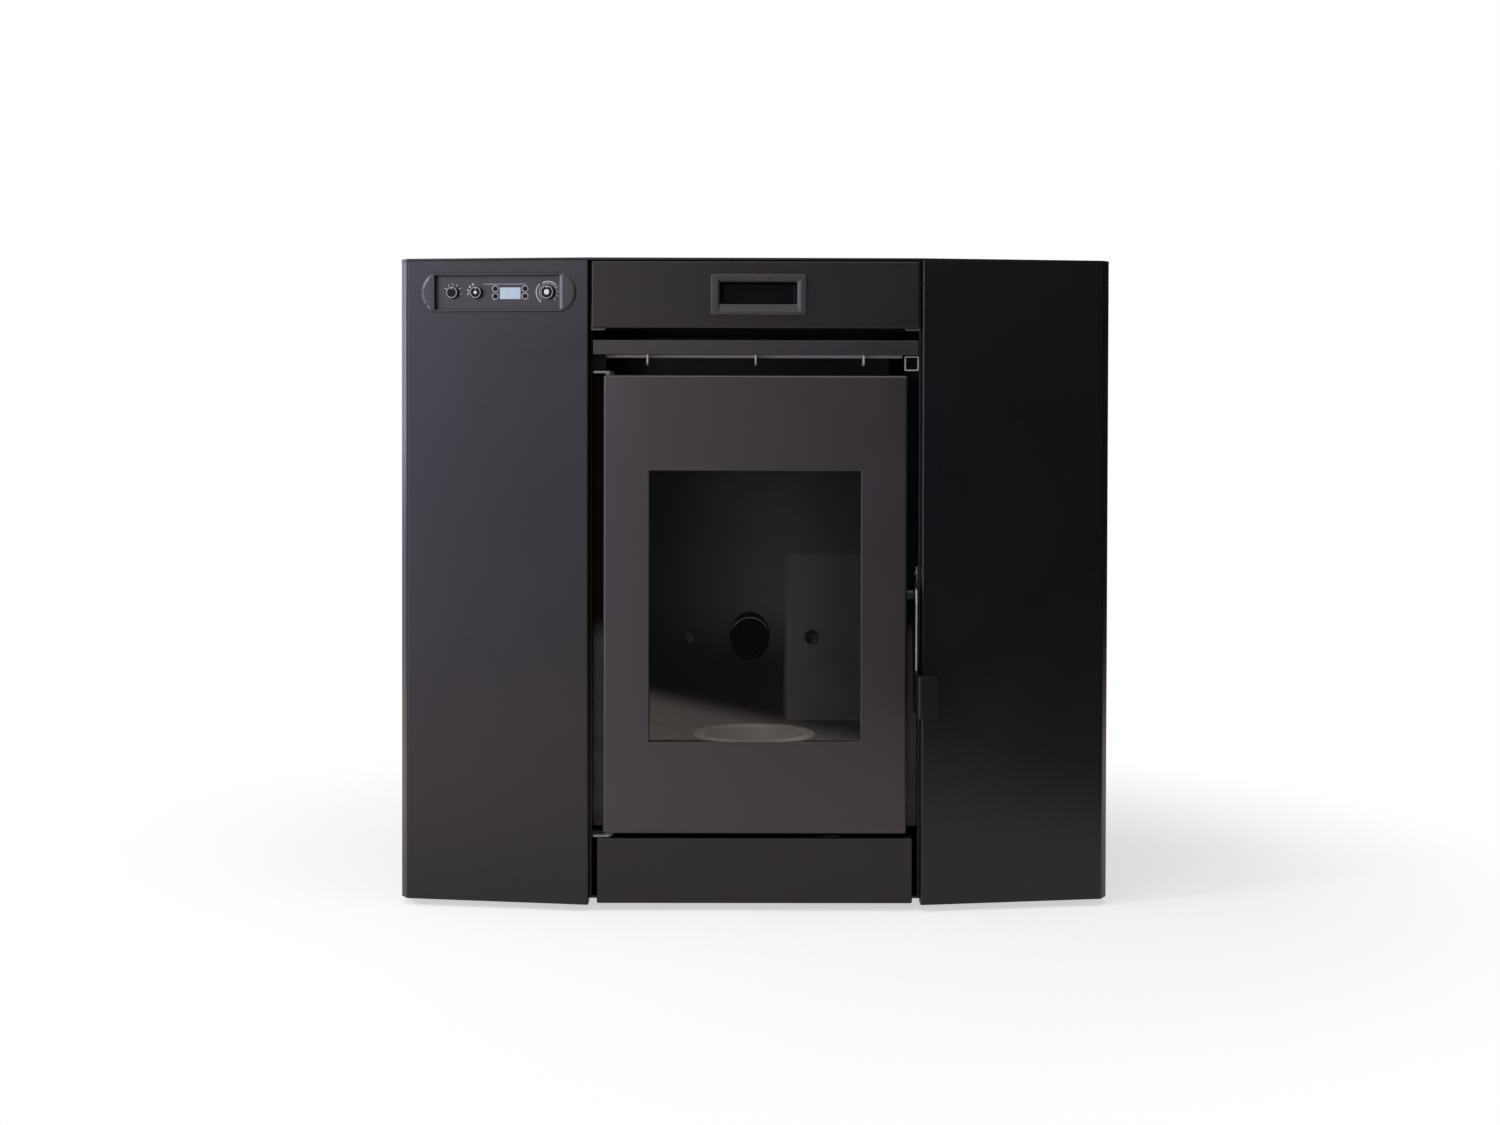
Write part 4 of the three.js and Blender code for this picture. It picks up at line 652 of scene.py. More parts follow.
grip_half, grip_rise = (grip_high.x - grip_low.x) / 2, (grip_high.z - grip_low.z) / 2
frame_back = drawer_low.y - 0.0003
cup_back = grip_high.y
grip = loft([
    rounded_ring(0.0500, 0.0166, 0.004, cup_back),
    rounded_ring(0.0500, 0.0166, 0.004, frame_back + 0.0001),
    rounded_ring(grip_half, grip_rise, 0.003, frame_back),
    rounded_ring(grip_half, grip_rise, 0.003, grip_low.y + 0.0012),
    rounded_ring(grip_half - 0.0004, grip_rise - 0.0004, 0.003, grip_low.y + 0.0004),
    rounded_ring(grip_half - 0.0012, grip_rise - 0.0012, 0.003, grip_low.y),
    rounded_ring(0.0516, 0.0205, 0.0026, grip_low.y, -0.0014, aside=0.0008),
    rounded_ring(0.0512, 0.0201, 0.0024, grip_low.y + 0.0003, -0.0014, aside=0.0008),
    rounded_ring(0.04835, 0.0139, 0.0018, grip_low.y + 0.0027, 0.0019, aside=-0.00035),
    rounded_ring(0.0482, 0.0136, 0.0018, grip_low.y + 0.0042, 0.0019),
    rounded_ring(0.0472, 0.0130, 0.0030, cup_back - 0.0036, 0.0019),
    rounded_ring(0.0462, 0.0120, 0.0030, cup_back - 0.0016, 0.0019),
    rounded_ring(0.0440, 0.0100, 0.0030, cup_back - 0.0008, 0.0019),
])
soften(grip, 0, angle=50)
fit(grip, "drawer_flush_grip", "pellet_drawer", "black_plastic", grip_plastic, "drawer_grip")

# The tray is zinc plated sheet, left bright; its two runners are zinc plated in a darker grey. The runners'
# front ends show in the slot under the drawer, each with the head of the screw that holds it.
def metal(name, colour, roughness, streak=None, metallic=0.9, depth=0.00002):
    """Bare or plated metal: faint stains, rolling marks along one way and uneven gloss."""
    material, shader, place = finish_nodes(name, roughness, metallic)
    stain = ranged(grain(place, 14, 4), 0.0, 1.0)
    feed(shader, "Base Color", two_tone(stain, [0.78 * channel for channel in colour], colour))
    marks = grain(place, 260, 3, streak)
    feed(shader, "Roughness", ranged(marks, roughness * 0.75, roughness * 1.3))
    relief(shader, marks, depth)
    return material

zinc = metal("zinc_plate", (0.50, 0.50, 0.49), 0.36, (0.15, 0.15, 1.0))
runner_zinc = metal("runner_zinc", (0.20, 0.20, 0.20), 0.42, (0.15, 0.15, 1.0))
tray_low, tray_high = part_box("pellet_drawer_tray")
tray_sheet = 0.0015
tray_outlet = (0.178, tray_high.y - 0.132, tray_high.y - 0.012)
tray = open_box(tray_low, tray_high, 0.002, 3)
on_bottom = lambda place, way: way.z < -0.9
score(tray, on_bottom, planes(x=(-tray_outlet[0], tray_outlet[0]), y=tray_outlet[1:]))
pick(tray, "FACE", lambda place, way: (
    way.z < -0.9 and abs(place.x) < tray_outlet[0] and tray_outlet[1] < place.y < tray_outlet[2]
))
clear_faces()
leave()
thicken(tray, tray_sheet)
soften(tray, 0.0002)
fit(tray, "drawer_tray", "pellet_drawer", "zinc_steel", zinc, "pellet_drawer_tray")

runner_low, runner_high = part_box("drawer_runner_right")
runner_sheet = 0.0022
for side, label in ((-1, "left"), (1, "right")):
    outer = side * runner_high.x
    lip = side * runner_low.x
    foot = runner_low.z
    path = [(lip, foot + 0.005), (lip, foot), (outer, foot), (outer, runner_high.z)]
    runner = folded_strip(path, (runner_low.y, runner_high.y), "Y", 0.0012)
    edit(runner)
    face_out()
    leave()
    thicken(runner, runner_sheet)
    soften(runner, 0.0002)
    fit(runner, f"runner_{label}", "stove", "zinc_steel", runner_zinc, f"drawer_runner_{label}")
    for step in (0.02, 0.2, 0.42):
        seat = (side * (runner_high.x - runner_sheet), runner_low.y + step + 0.02, foot + 0.018)
        socket_screw(
            f"runner_screw_{label}_{int(step * 100)}", seat, (-side, 0, 0), 0.0028, 0.0012,
            material=zinc, slot="zinc_steel",
        )

# ---- outlet bar ----------------------------------------------------------------------------
# A folded channel across the opening over the warm air outlet, painted as the front, with
# three short fins under it and a tab at each end that holds it to the chassis sides.
bar_low, bar_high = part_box("outlet_bar")
bar_half = 0.2035
bar_foot = 0.699
bar_depth = 0.030
bar_lip = 0.024
fin_places = (-0.1355, 0.0, 0.1355)
fin_sheet = 0.0019
fin_drop = 0.013
fin_depth = 0.028
tab_width = 0.018
bar_face = bar_low.y
bar_path = [
    (bar_face + bar_depth, bar_high.z), (bar_face, bar_high.z),
    (bar_face, bar_foot), (bar_face + bar_lip, bar_foot),
]
bar = folded_strip(bar_path, (-bar_half, bar_half), "X", 0.0014)
thicken(bar, 0.002, side=-1 if bar.data.polygons[0].normal.z > 0 else 1)
soften(bar, 0.0003)
bar_paint = powder_coat(
    "bar_paint", (0.020, 0.0175, 0.0195), (0.028, 0.0245, 0.0265), (0.26, 0.34), specular=0.8,
)
fit(bar, "outlet_bar_channel", "stove", "powder_coat", bar_paint, "outlet_bar")

# The fins, the hem and the right socket's rim are painted pale grey: painted highlights on a black bar.
pale_highlight_paint = powder_coat("painted_highlight_edges", (0.62, 0.60, 0.61), (0.78, 0.77, 0.78), (0.30, 0.42))
for index, x in enumerate(fin_places):
    outline = [
        (bar_face + 0.001, bar_foot + 0.0005),
        (bar_face + 0.001, bar_foot - fin_drop + 0.003),
        (bar_face + 0.004, bar_foot - fin_drop),
        (bar_face + fin_depth, bar_foot - fin_drop),
        (bar_face + fin_depth, bar_foot + 0.0005),
    ]
    fin = prism(outline, "X", (x - fin_sheet / 2, x + fin_sheet / 2))
    soften(fin, 0.0004)
    fit(fin, f"outlet_fin_{index}", "stove", "powder_coat", pale_highlight_paint)

# The channel's lower return ends in a short hem, painted pale: a painted highlight along its edge.
hem_y = bar_face + bar_lip
hem = folded_strip(
    [(hem_y - 0.001, bar_foot + 0.001), (hem_y, bar_foot - 0.0034)],
    (-bar_half + 0.010, bar_half - 0.018), "X", 0,
)
thicken(hem, 0.0012, side=0)
soften(hem, 0.0003)
fit(hem, "outlet_bar_hem", "stove", "powder_coat", pale_highlight_paint)

# The left tab is a plain angle in a matt black darker than the chassis: painted shade. The right one is
# folded to a square socket whose rim is painted pale, a painted highlight.
left_wall, left_inner = -bar_high.x, -bar_high.x + tab_width
tab_front = bar_face + 0.008
path = [(left_inner, tab_front), (left_wall, tab_front), (left_wall, front_plane + 0.037)]
tab = folded_strip(path, (bar_foot - 0.019, bar_foot), "Z", 0.001)
thicken(tab, 0.002, side=1 if tab.data.polygons[0].normal.y > 0 else -1)
soften(tab, 0.0003)
# A matt black darker than the chassis paint for the left tab and its screw: painted shade.
painted_shade_black = powder_coat(
    "painted_shade_black", (0.0035, 0.0035, 0.0035), (0.0060, 0.0060, 0.0060), (0.6, 0.75), specular=0.15,
)
fit(tab, "outlet_bar_tab_left", "stove", "powder_coat", painted_shade_black)
socket_screw(
    "outlet_bar_screw_left", (left_wall + 0.010, tab_front, bar_foot - 0.010), (0, -1, 0), 0.0032, 0.0016,
    material=painted_shade_black,
)

socket_x = (bar_high.x - tab_width - 0.0008, bar_high.x - 0.0012)
socket_z = (bar_foot - 0.0195, bar_foot - 0.0014)
loop = [
    (socket_x[1], socket_z[1]), (socket_x[0], socket_z[1]), (socket_x[0], socket_z[0]),
    (socket_x[1], socket_z[0]), (socket_x[1], socket_z[1]),
]
for label, span, paint in (
    ("rim", (tab_front - 0.0015, tab_front), pale_highlight_paint),
    ("body", (tab_front, front_plane + 0.037), chassis_paint),
):
    tab = folded_strip(loop, span, "Y", 0.001)
    edit(tab)
    face_out()
    leave()
    thicken(tab, 0.0015)
    soften(tab, 0.0002)
    fit(tab, f"outlet_bar_socket_{label}", "stove", "powder_coat", paint)

# ---- fire door -----------------------------------------------------------------------------
# A pan folded from 3 mm steel with soft edges and its window's edge turned in. Behind it lie a
# cast frame, the heat resistant glass on its gasket and the rope that seals the firebox.
door_low, door_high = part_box("door_panel")
door_sheet = 0.003
door_edge = 0.0035
window_half = 0.1325
window_span = (0.214, 0.554)
window_lip = 0.0028
door_paint = powder_coat(
    "door_paint", (0.0260, 0.0215, 0.0235), (0.0350, 0.0290, 0.0315), (0.27, 0.35), specular=0.8,
)
door_panel = pan(door_low, door_high, door_edge)
open_front(door_panel, (-window_half, window_half), window_span, window_lip)
edit(door_panel)
pick(door_panel, "EDGE", lambda place, way: (
    abs(place.y - door_low.y) < 1e-5 and abs(place.x) < window_half + 0.001
    and window_span[0] - 0.001 < place.z < window_span[1] + 0.001
    and (abs(abs(place.x) - window_half) < 1e-5 or min(
        abs(place.z - window_span[0]), abs(place.z - window_span[1])) < 1e-5)
))
bevel(0.0012, 3)
leave()
apply_modifier(door_panel, "SOLIDIFY", thickness=door_sheet - 0.0004, offset=-1, use_even_offset=False)
soften(door_panel, 0.0003)
fit(door_panel, "fire_door_panel", "door", "door_paint", door_paint, "door_panel")

cast_iron = metal("cast_iron", (0.018, 0.0165, 0.016), 0.66, metallic=0.4, depth=0.00012)

repaint(cast_iron, "door_frame")

# The glass is clear ceramic with a faint smoky tint. It mirrors the floor in its lower half.
glass_low, glass_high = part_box("door_glass")
clear_glass, shader, place = finish_nodes("door_glass_clear", 0.02)
shader.inputs["Transmission Weight"].default_value = 1.0
shader.inputs["IOR"].default_value = 1.5
smoke = ranged(grain(place, 5, 4), 0.0, 1.0)
feed(shader, "Base Color", two_tone(smoke, (0.80, 0.80, 0.80), (0.90, 0.90, 0.90)))
feed(shader, "Roughness", ranged(grain(place, 12, 3), 0.0, 0.03))
tree = clear_glass.node_tree
lamp_ray = link_node(tree, "ShaderNodeLightPath").outputs["Is Shadow Ray"]
clear = link_node(tree, "ShaderNodeBsdfTransparent", {"Color": (0.86, 0.86, 0.86, 1)})
either = link_node(
    tree, "ShaderNodeMixShader", {0: lamp_ray, 1: shader.outputs[0], 2: clear.outputs[0]}
)
shown = next(node for node in tree.nodes if node.type == "OUTPUT_MATERIAL")
feed(shown, "Surface", either.outputs[0])
glass = block(glass_low, glass_high)
round_edges(glass, 0.004, 4, lambda spot, run: abs(run.y) > 0.9)
soften(glass, 0.0004)
fit(glass, "door_glass_pane", "door", "heat_glass", clear_glass, "door_glass")

# Two ropes of glass fibre: a flat one in front of the glass and a round one in the frame's
# groove. Each is laid in a rectangle with rounded corners, its plaits turned across its run.
def rope_material(name, dark, light, pitch):
    """Twisted fibre: plaits that run round the rope, pitch apart, and a fuzz over them."""
    material, shader, place = finish_nodes(name, 0.9)
    shader.inputs["Sheen Weight"].default_value = 0.2
    spread = reckon("ADD", coordinate(place, "X"), coordinate(place, "Z"))
    run = reckon("ADD", spread, times(coordinate(place, "Y"), 0.8))
    plait = reckon("SINE", times(run, 2 * math.pi / pitch))
    both = reckon("ADD", plait, grain(place, 1800, 3))
    feed(shader, "Base Color", two_tone(ranged(both, 0.0, 1.0, (-0.6, 1.6)), dark, light))
    relief(shader, both, 0.0006)
    return material

def rope_loop(half, span, y, width, depth, round_corner):
    """A closed rope: a plane's rim is rounded at its corners and drawn into a tube."""
    loop = new_piece("plane", size=1, location=(0, y, (span[0] + span[1]) / 2), rotation=(math.pi / 2, 0, 0))
    loop.scale = (2 * half, span[1] - span[0], 1)
    settle()
    edit(loop, "VERT")
    take_all()
    bpy.ops.mesh.bevel(offset=round_corner, segments=6, affect="VERTICES")
    take_all()
    bpy.ops.mesh.delete(type="ONLY_FACE")
    leave()
    bpy.ops.object.convert(target="CURVE")
    loop = bpy.context.object
    loop.data.bevel_depth = width / 2
    loop.data.bevel_resolution = 5
    bpy.ops.object.convert(target="MESH")
    loop = bpy.context.object
    for corner in loop.data.vertices:
        corner.co.y = y + (corner.co.y - y) * depth / width
    hold(loop)
    bpy.ops.object.shade_smooth()
    return loop

seal_low, seal_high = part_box("door_seal")
seal_width = 0.009
seal = rope_loop(
    seal_high.x - seal_width / 2, (seal_low.z + seal_width / 2, seal_high.z - seal_width / 2),
    (seal_low.y + seal_high.y) / 2, seal_width, seal_high.y - seal_low.y, 0.012,
)
seal_rope = rope_material("seal_rope", (0.20, 0.19, 0.17), (0.42, 0.40, 0.36), 0.006)
fit(seal, "door_seal_rope", "door", "rope", seal_rope, "door_seal")

gasket_low, gasket_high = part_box("glass_gasket")
gasket_width = 0.012
gasket = rope_loop(
    gasket_high.x - gasket_width / 2, (gasket_low.z + gasket_width / 2, gasket_high.z - gasket_width / 2),
    (gasket_low.y + gasket_high.y) / 2, gasket_width, gasket_high.y - gasket_low.y, 0.010,
)
gasket_tape = rope_material("gasket_tape", (0.010, 0.010, 0.010), (0.022, 0.021, 0.020), 0.003)
fit(gasket, "glass_gasket_tape", "door", "rope", gasket_tape, "glass_gasket")

# Low screws on the frame's back hold the glass and its gasket from behind.
frame_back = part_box("door_frame")[1].y
frame_screws = [(side * 0.154, z) for side in (-1, 1) for z in (0.24, 0.384, 0.53)]
frame_screws += [(side * 0.075, z) for side in (-1, 1) for z in (0.186, 0.582)]
for index, (x, z) in enumerate(frame_screws):
    socket_screw(
        f"door_frame_screw_{index}", (x, frame_back - 0.0002, z), (0, 1, 0), 0.0036, 0.0014,
        body="door", material=zinc, slot="zinc_steel",
    )

# ---- hinges --------------------------------------------------------------------------------
# Two zinc plated pintle plates bolted through the chassis side: each carries a pin that the
# door's edge turns on, with a washer between the plate and the door.
pintle_zinc = metal("pintle_zinc", (0.26, 0.25, 0.245), 0.40)
for label in ("upper", "lower"):
    pintle_low, pintle_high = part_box(f"hinge_pintle_{label}")
    plate_top = label == "upper"
    plate_sheet = 0.003
    plate_span = (
        (pintle_high.z - plate_sheet, pintle_high.z) if plate_top
        else (pintle_low.z, pintle_low.z + plate_sheet)
    )
    pin_x, pin_y = -0.183, front_plane + 0.012
    outline = [
        (pintle_low.x, pintle_high.y), (pintle_low.x, pintle_low.y + 0.004),
        (pintle_low.x + 0.004, pintle_low.y), (pin_x, pintle_low.y),
        (pintle_high.x - 0.0018, pin_y - 0.0042), (pintle_high.x, pin_y),
        (pintle_high.x - 0.0018, pin_y + 0.0042), (pin_x, pin_y + 0.006),
        (pintle_low.x + 0.010, pintle_high.y),
    ]
    plate = prism(outline, "Z", plate_span)
    soften(plate, 0.0004)
    fit(plate, f"hinge_plate_{label}", "stove", "zinc_steel", pintle_zinc, f"hinge_pintle_{label}")
    pin_span = (pintle_low.z, plate_span[0]) if plate_top else (plate_span[1], pintle_high.z)
    pin = new_piece(
        "cylinder", vertices=24, radius=0.004, depth=pin_span[1] - pin_span[0],
        location=(pin_x, pin_y, sum(pin_span) / 2),
    )
    settle()
    tip = pintle_low.z if plate_top else pintle_high.z
    round_edges(pin, 0.0012, 3, lambda spot, run: abs(spot.z - tip) < 1e-5)
    soften(pin, 0)
    fit(pin, f"hinge_pin_{label}", "stove", "zinc_steel", pintle_zinc)
    washer_low = plate_span[0] - 0.0012 if plate_top else plate_span[1]
    washer_z = (washer_low, washer_low + 0.0012)
    washer = new_piece(
        "cylinder", vertices=24, radius=0.0075, depth=0.0012, location=(pin_x, pin_y, sum(washer_z) / 2),
    )
    edit(washer)
    pick(washer, "FACE", lambda spot, run: abs(run.z) > 0.9)
    inset(0.0032)
    pick(washer, "FACE", lambda spot, run: abs(run.z) > 0.9 and Vector((spot.x, spot.y)).length < 0.001)
    bpy.ops.mesh.bridge_edge_loops()
    leave()
    soften(washer, 0.0002)
    fit(washer, f"hinge_washer_{label}", "stove", "zinc_steel", pintle_zinc)

# ---- side handle ---------------------------------------------------------------------------
# A lever cut from 3 mm black steel that turns on a shoulder screw in the door's right edge.
# Its grip is bent to the right, where a hand takes it; its nose swings beside a keeper.
lever_low, lever_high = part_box("door_handle")
screw_low, screw_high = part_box("handle_pivot_screw")
lever_sheet = 0.003
lever_x = (lever_low.x, lever_low.x + lever_sheet)
pivot_y, pivot_z = front_plane + 0.014, 0.398
grip_top = 0.304
lever_black = powder_coat(
    "lever_black", (0.0065, 0.0055, 0.0060), (0.0115, 0.0095, 0.0105), (0.22, 0.30), specular=0.4,
)
lever_outline = [
    (front_plane - 0.013, grip_top), (front_plane - 0.013, pivot_z - 0.008),
    (front_plane - 0.008, pivot_z + 0.006), (front_plane + 0.006, pivot_z + 0.017),
    (front_plane + 0.036, pivot_z + 0.017), (front_plane + 0.036, pivot_z - 0.006),
    (front_plane + 0.030, pivot_z - 0.014), (front_plane + 0.030, grip_top + 0.014),
    (front_plane + 0.022, grip_top), (front_plane + 0.022, lever_low.z),
    (lever_low.y + 0.0025, lever_low.z), (lever_low.y + 0.0025, grip_top),
]
lever = prism(lever_outline, "X", lever_x)
edit(lever)
pick(lever, "EDGE", lambda spot, run: abs(run.x) > 0.9 and spot.y > lever_low.y + 0.01)
bpy.ops.mesh.bevel(offset=0.003, segments=4, affect="EDGES", clamp_overlap=True)
pick(lever, "FACE", lambda spot, run: run.y < -0.95 and spot.y < lever_low.y + 0.004)
extrude((0, -0.0025, 0))
pick(lever, "FACE", lambda spot, run: run.x > 0.95 and spot.y < lever_low.y + 0.0026)
extrude((lever_high.x - lever_x[1], 0, 0))
pick(lever, "EDGE", lambda spot, run: abs(run.y) > 0.9 and spot.x > lever_high.x - 0.001)
bevel(0.003, 5)
pick(lever, "EDGE", lambda spot, run: (
    abs(run.z) > 0.9 and spot.x < lever_low.x + 1e-5 and spot.y < lever_low.y + 0.0001
))
bevel(0.0028, 5)
leave()
soften(lever, 0.0005, 3)
fit(lever, "handle_lever", "handle", "black_steel", lever_black, "door_handle")

# The lever's front edge is ground bright above the grip.
edge_middle = (lever_x[0] + lever_x[1]) / 2
bright_edge = prism(
    [(edge_middle - 0.0009, front_plane - 0.0136), (edge_middle + 0.0009, front_plane - 0.0136),
     (edge_middle + 0.0009, front_plane - 0.0120), (edge_middle - 0.0009, front_plane - 0.0120)],
    "Z", (grip_top + 0.002, pivot_z - 0.0082),
)
soften(bright_edge, 0.0003)
bright_steel = metal("ground_edge", (0.66, 0.65, 0.64), 0.34, (1.0, 1.0, 0.2), metallic=0.6)
fit(bright_edge, "handle_lever_edge", "handle", "black_steel", bright_steel)
bright_shoulder = prism(
    [(front_plane - 0.0136, pivot_z - 0.0082), (front_plane - 0.0087, pivot_z + 0.0062),
     (front_plane - 0.0050, pivot_z + 0.0090), (front_plane - 0.0040, pivot_z + 0.0072),
     (front_plane - 0.0072, pivot_z + 0.0052), (front_plane - 0.0120, pivot_z - 0.0082)],
    "X", (edge_middle - 0.0009, edge_middle + 0.0009),
)
soften(bright_shoulder, 0.0003)
fit(bright_shoulder, "handle_lever_shoulder", "handle", "black_steel", bright_steel)

# The shoulder screw: a spacer, a plain shank and a low domed head with a cross cut in it.
stainless = metal("stainless", (0.60, 0.59, 0.57), 0.24, metallic=1.0)
pivot_parts = (
    ("spacer", screw_low.x, lever_x[0] - 0.0003, 0.008),
    ("shank", lever_x[0] - 0.0005, lever_x[1] + 0.0005, 0.004),
    ("head", lever_x[1] + 0.0003, screw_high.x, 0.0065),
)
for label, start, end, radius in pivot_parts:
    part = new_piece("cylinder", vertices=32, radius=radius, depth=end - start)
    round_edges(
        part, min(0.0008, (end - start) * 0.4), 3,
        lambda spot, run: spot.z > (end - start) * 0.49 and abs(run.z) < 0.5,
    )
    if label == "head":
        slot_half = 0.0008
        on_top = lambda spot, way: way.z > 0.98 and spot.z > (end - start) * 0.49
        score(part, on_top, planes(x=(-slot_half, slot_half), y=(-slot_half, slot_half)))
        pick(part, "FACE", lambda spot, way: on_top(spot, way) and spot.xy.length < 0.0052 and (
            abs(spot.x) < slot_half or abs(spot.y) < slot_half
        ))
        extrude((0, 0, -0.0011))
        leave()
    turn = Matrix.Rotation(math.pi / 2, 4, "Y")
    part.matrix_world = Matrix.Translation(((start + end) / 2, pivot_y, pivot_z)) @ turn
    soften(part, 0)
    stands_for = ("handle_pivot_screw",) if label == "head" else ()
    paint = lever_black if label == "spacer" else stainless
    fit(part, f"handle_pivot_{label}", "door", "stainless", paint, *stands_for)

keeper_low, keeper_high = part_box("latch_keeper")
keeper = prism(
    [(keeper_low.y, keeper_low.z), (keeper_high.y, keeper_low.z), (keeper_high.y, keeper_high.z),
     (keeper_low.y + 0.006, keeper_high.z), (keeper_low.y, keeper_high.z - 0.008)],
    "X", (keeper_low.x, keeper_high.x),
)
soften(keeper, 0.0005, 3)
fit(keeper, "handle_keeper", "stove", "zinc_steel", pintle_zinc, "latch_keeper")
for index, z in enumerate((keeper_low.z + 0.007, keeper_high.z - 0.009)):
    socket_screw(
        f"keeper_screw_{index}", (keeper_low.x, (keeper_low.y + keeper_high.y) / 2 + 0.003, z), (-1, 0, 0),
        0.003, 0.0013, material=zinc, slot="zinc_steel",
    )

# ---- ash drawer ----------------------------------------------------------------------------
# The same folded front as the others under the door, with a zinc plated box behind it that
# catches the ash under the burn pot. It is pulled out by its upper edge.
ash_low, ash_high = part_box("ash_drawer_front")
ash_paint = powder_coat("ash_drawer_paint", (0.0115, 0.0090, 0.0092), (0.0165, 0.0130, 0.0132))
ash_front = pan(ash_low, ash_high, front_edge)
thicken(ash_front, front_sheet)
soften(ash_front, 0.0003)
fit(ash_front, "ash_drawer_face", "ash_drawer", "powder_coat", ash_paint, "ash_drawer_front")

box_low, box_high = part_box("ash_drawer_box")
ash_box = open_box(box_low, box_high, 0.003, 3)
thicken(ash_box, 0.002)
soften(ash_box, 0.0003)
sooty_zinc = metal("sooty_zinc", (0.30, 0.29, 0.28), 0.5)
fit(ash_box, "ash_box_liner", "ash_drawer", "zinc_steel", sooty_zinc, "ash_drawer_box")

# ---- firebox -------------------------------------------------------------------------------
# A box welded from 3 mm steel with a flat frame round its mouth, painted with matt stove black
# and dulled by soot. Bead welds run where the box meets its frame and along the hearth shelf.
def stove_black(name, dark, light, soot, dull=(0.62, 0.86), specular=0.35):
    """Matt heat-proof paint with clouds of soot and a little ash lying on what faces up."""
    material, shader, place = finish_nodes(name, 0.72, specular=specular)
    paint = two_tone(ranged(grain(place, 22, 5), 0.0, 1.0), dark, light)
    up = coordinate(link_node(place.id_data, "ShaderNodeNewGeometry").outputs["Normal"], "Z")
    dust = times(ranged(up, 0.0, 0.5, (0.6, 1.0)), ranged(grain(place, 45, 6), 0.0, 1.0))
    feed(shader, "Base Color", two_tone(dust, paint, soot))
    feed(shader, "Roughness", ranged(grain(place, 60, 4), *dull))
    relief(shader, grain(place, 700, 3), 0.00012)
    return material

firebox_black = stove_black(
    "firebox_black", (0.010, 0.009, 0.009), (0.022, 0.020, 0.019), (0.14, 0.13, 0.12), (0.40, 0.52), 0.6,
)

def slope(value, start, end, low=0.0, high=1.0):
    """A soft step: low before start, high after end."""
    return mapped(value, start, end, low, high, smooth=True)

# Painted shade: the frame's upper part is set to reflect almost nothing, so it stays black; its foot keeps
# some gloss.
tree = firebox_black.node_tree
shader = next(node for node in tree.nodes if node.type == "BSDF_PRINCIPLED")
height = coordinate(link_node(tree, "ShaderNodeTexCoord").outputs["Object"], "Z")
feed(shader, "Specular IOR Level", slope(height, 0.37, 0.33, 0.04, 0.8))
repaint(firebox_black, "firebox")

box_half = 0.162
frame_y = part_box("firebox")[0].y
weld_steel = metal("weld_beads", (0.055, 0.052, 0.050), 0.5, metallic=0.7, depth=0.0002)

def weld_bead(name, start, end, radius):
    """A weld laid along a seam: a low round bead swelling and narrowing with each drop."""
    start, end = Vector(start), Vector(end)
    run = end - start
    rings = max(6, min(90, int(run.length / (radius * 1.1))))
    bead = new_piece("cylinder", vertices=10, radius=radius, depth=run.length)
    edit(bead)
    pick(bead, "EDGE", lambda place, way: abs(way.z) > 0.9)
    bpy.ops.mesh.subdivide_edgering(number_cuts=rings)
    leave()
    for corner in bead.data.vertices:
        drop = abs(math.sin(corner.co.z / (radius * 1.5)))
        swell = 0.82 + 0.22 * drop
        corner.co.x *= swell
        corner.co.y *= swell
    turn = run.to_track_quat("Z", "Y").to_matrix().to_4x4()
    bead.matrix_world = Matrix.Translation((start + end) / 2) @ turn
    hold(bead)
    bpy.ops.object.shade_smooth()
    return fit(bead, name, "stove", "black_steel", weld_steel)

weld_y = frame_y + 0.0035
for side, label in ((-1, "left"), (1, "right")):
    x = side * (box_half + 0.0006)
    weld_bead(f"firebox_weld_{label}", (x, weld_y, 0.112), (x, weld_y, 0.661), 0.0016)
shelf_z = 0.1967
for side, label in ((-1, "left"), (1, "right")):
    x = side * 0.1588
    weld_bead(f"shelf_weld_{label}", (x, frame_y + 0.006, shelf_z), (x, 0.046, shelf_z), 0.0018)

# ---- fireback, bolts and baffle ------------------------------------------------------------
# Cast plates that line the firebox. The fireback hangs on two hexagon bolts with washers, one
# at each side of the chute; the baffle turns the flame under the top.
fireback_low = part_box("fireback_plate")[0]
fireback_paint, shader, place = finish_nodes("fireback_paint", 0.7, specular=0.3)
across, height = coordinate(place, "X"), coordinate(place, "Z")

# Painted light and shade: the plate is darker at the left and low down and lighter over the middle, with
# faint uneven tone, and a sharp-edged pool of painted light lies at the lower right.
painted_light_patch = times(slope(across, 0.040, 0.048), slope(height, 0.430, 0.426))
painted_light = times(
    slope(across, -0.16, 0.03, 0.16, 1.0), slope(across, 0.03, 0.15, 1.0, 0.42),
    slope(height, 0.60, 0.50, 0.45, 1.0), reckon("MAXIMUM", slope(height, 0.27, 0.37), painted_light_patch),
    mapped(painted_light_patch, 0.0, 1.0, 0.72, 1.0), ranged(grain(place, 16, 4), 0.88, 1.0),
)
feed(shader, "Base Color", two_tone(painted_light, (0.012, 0.012, 0.015), (0.225, 0.207, 0.196)))
relief(shader, grain(place, 700, 3), 0.00012)
repaint(fireback_paint, "fireback_plate")
repaint(firebox_black, "flame_baffle")

def face_front(piece, place):
    """Puts a piece built standing up at a place, with its top turned towards the front."""
    piece.matrix_world = Matrix.Translation(place) @ Matrix.Rotation(math.pi / 2, 4, "X")

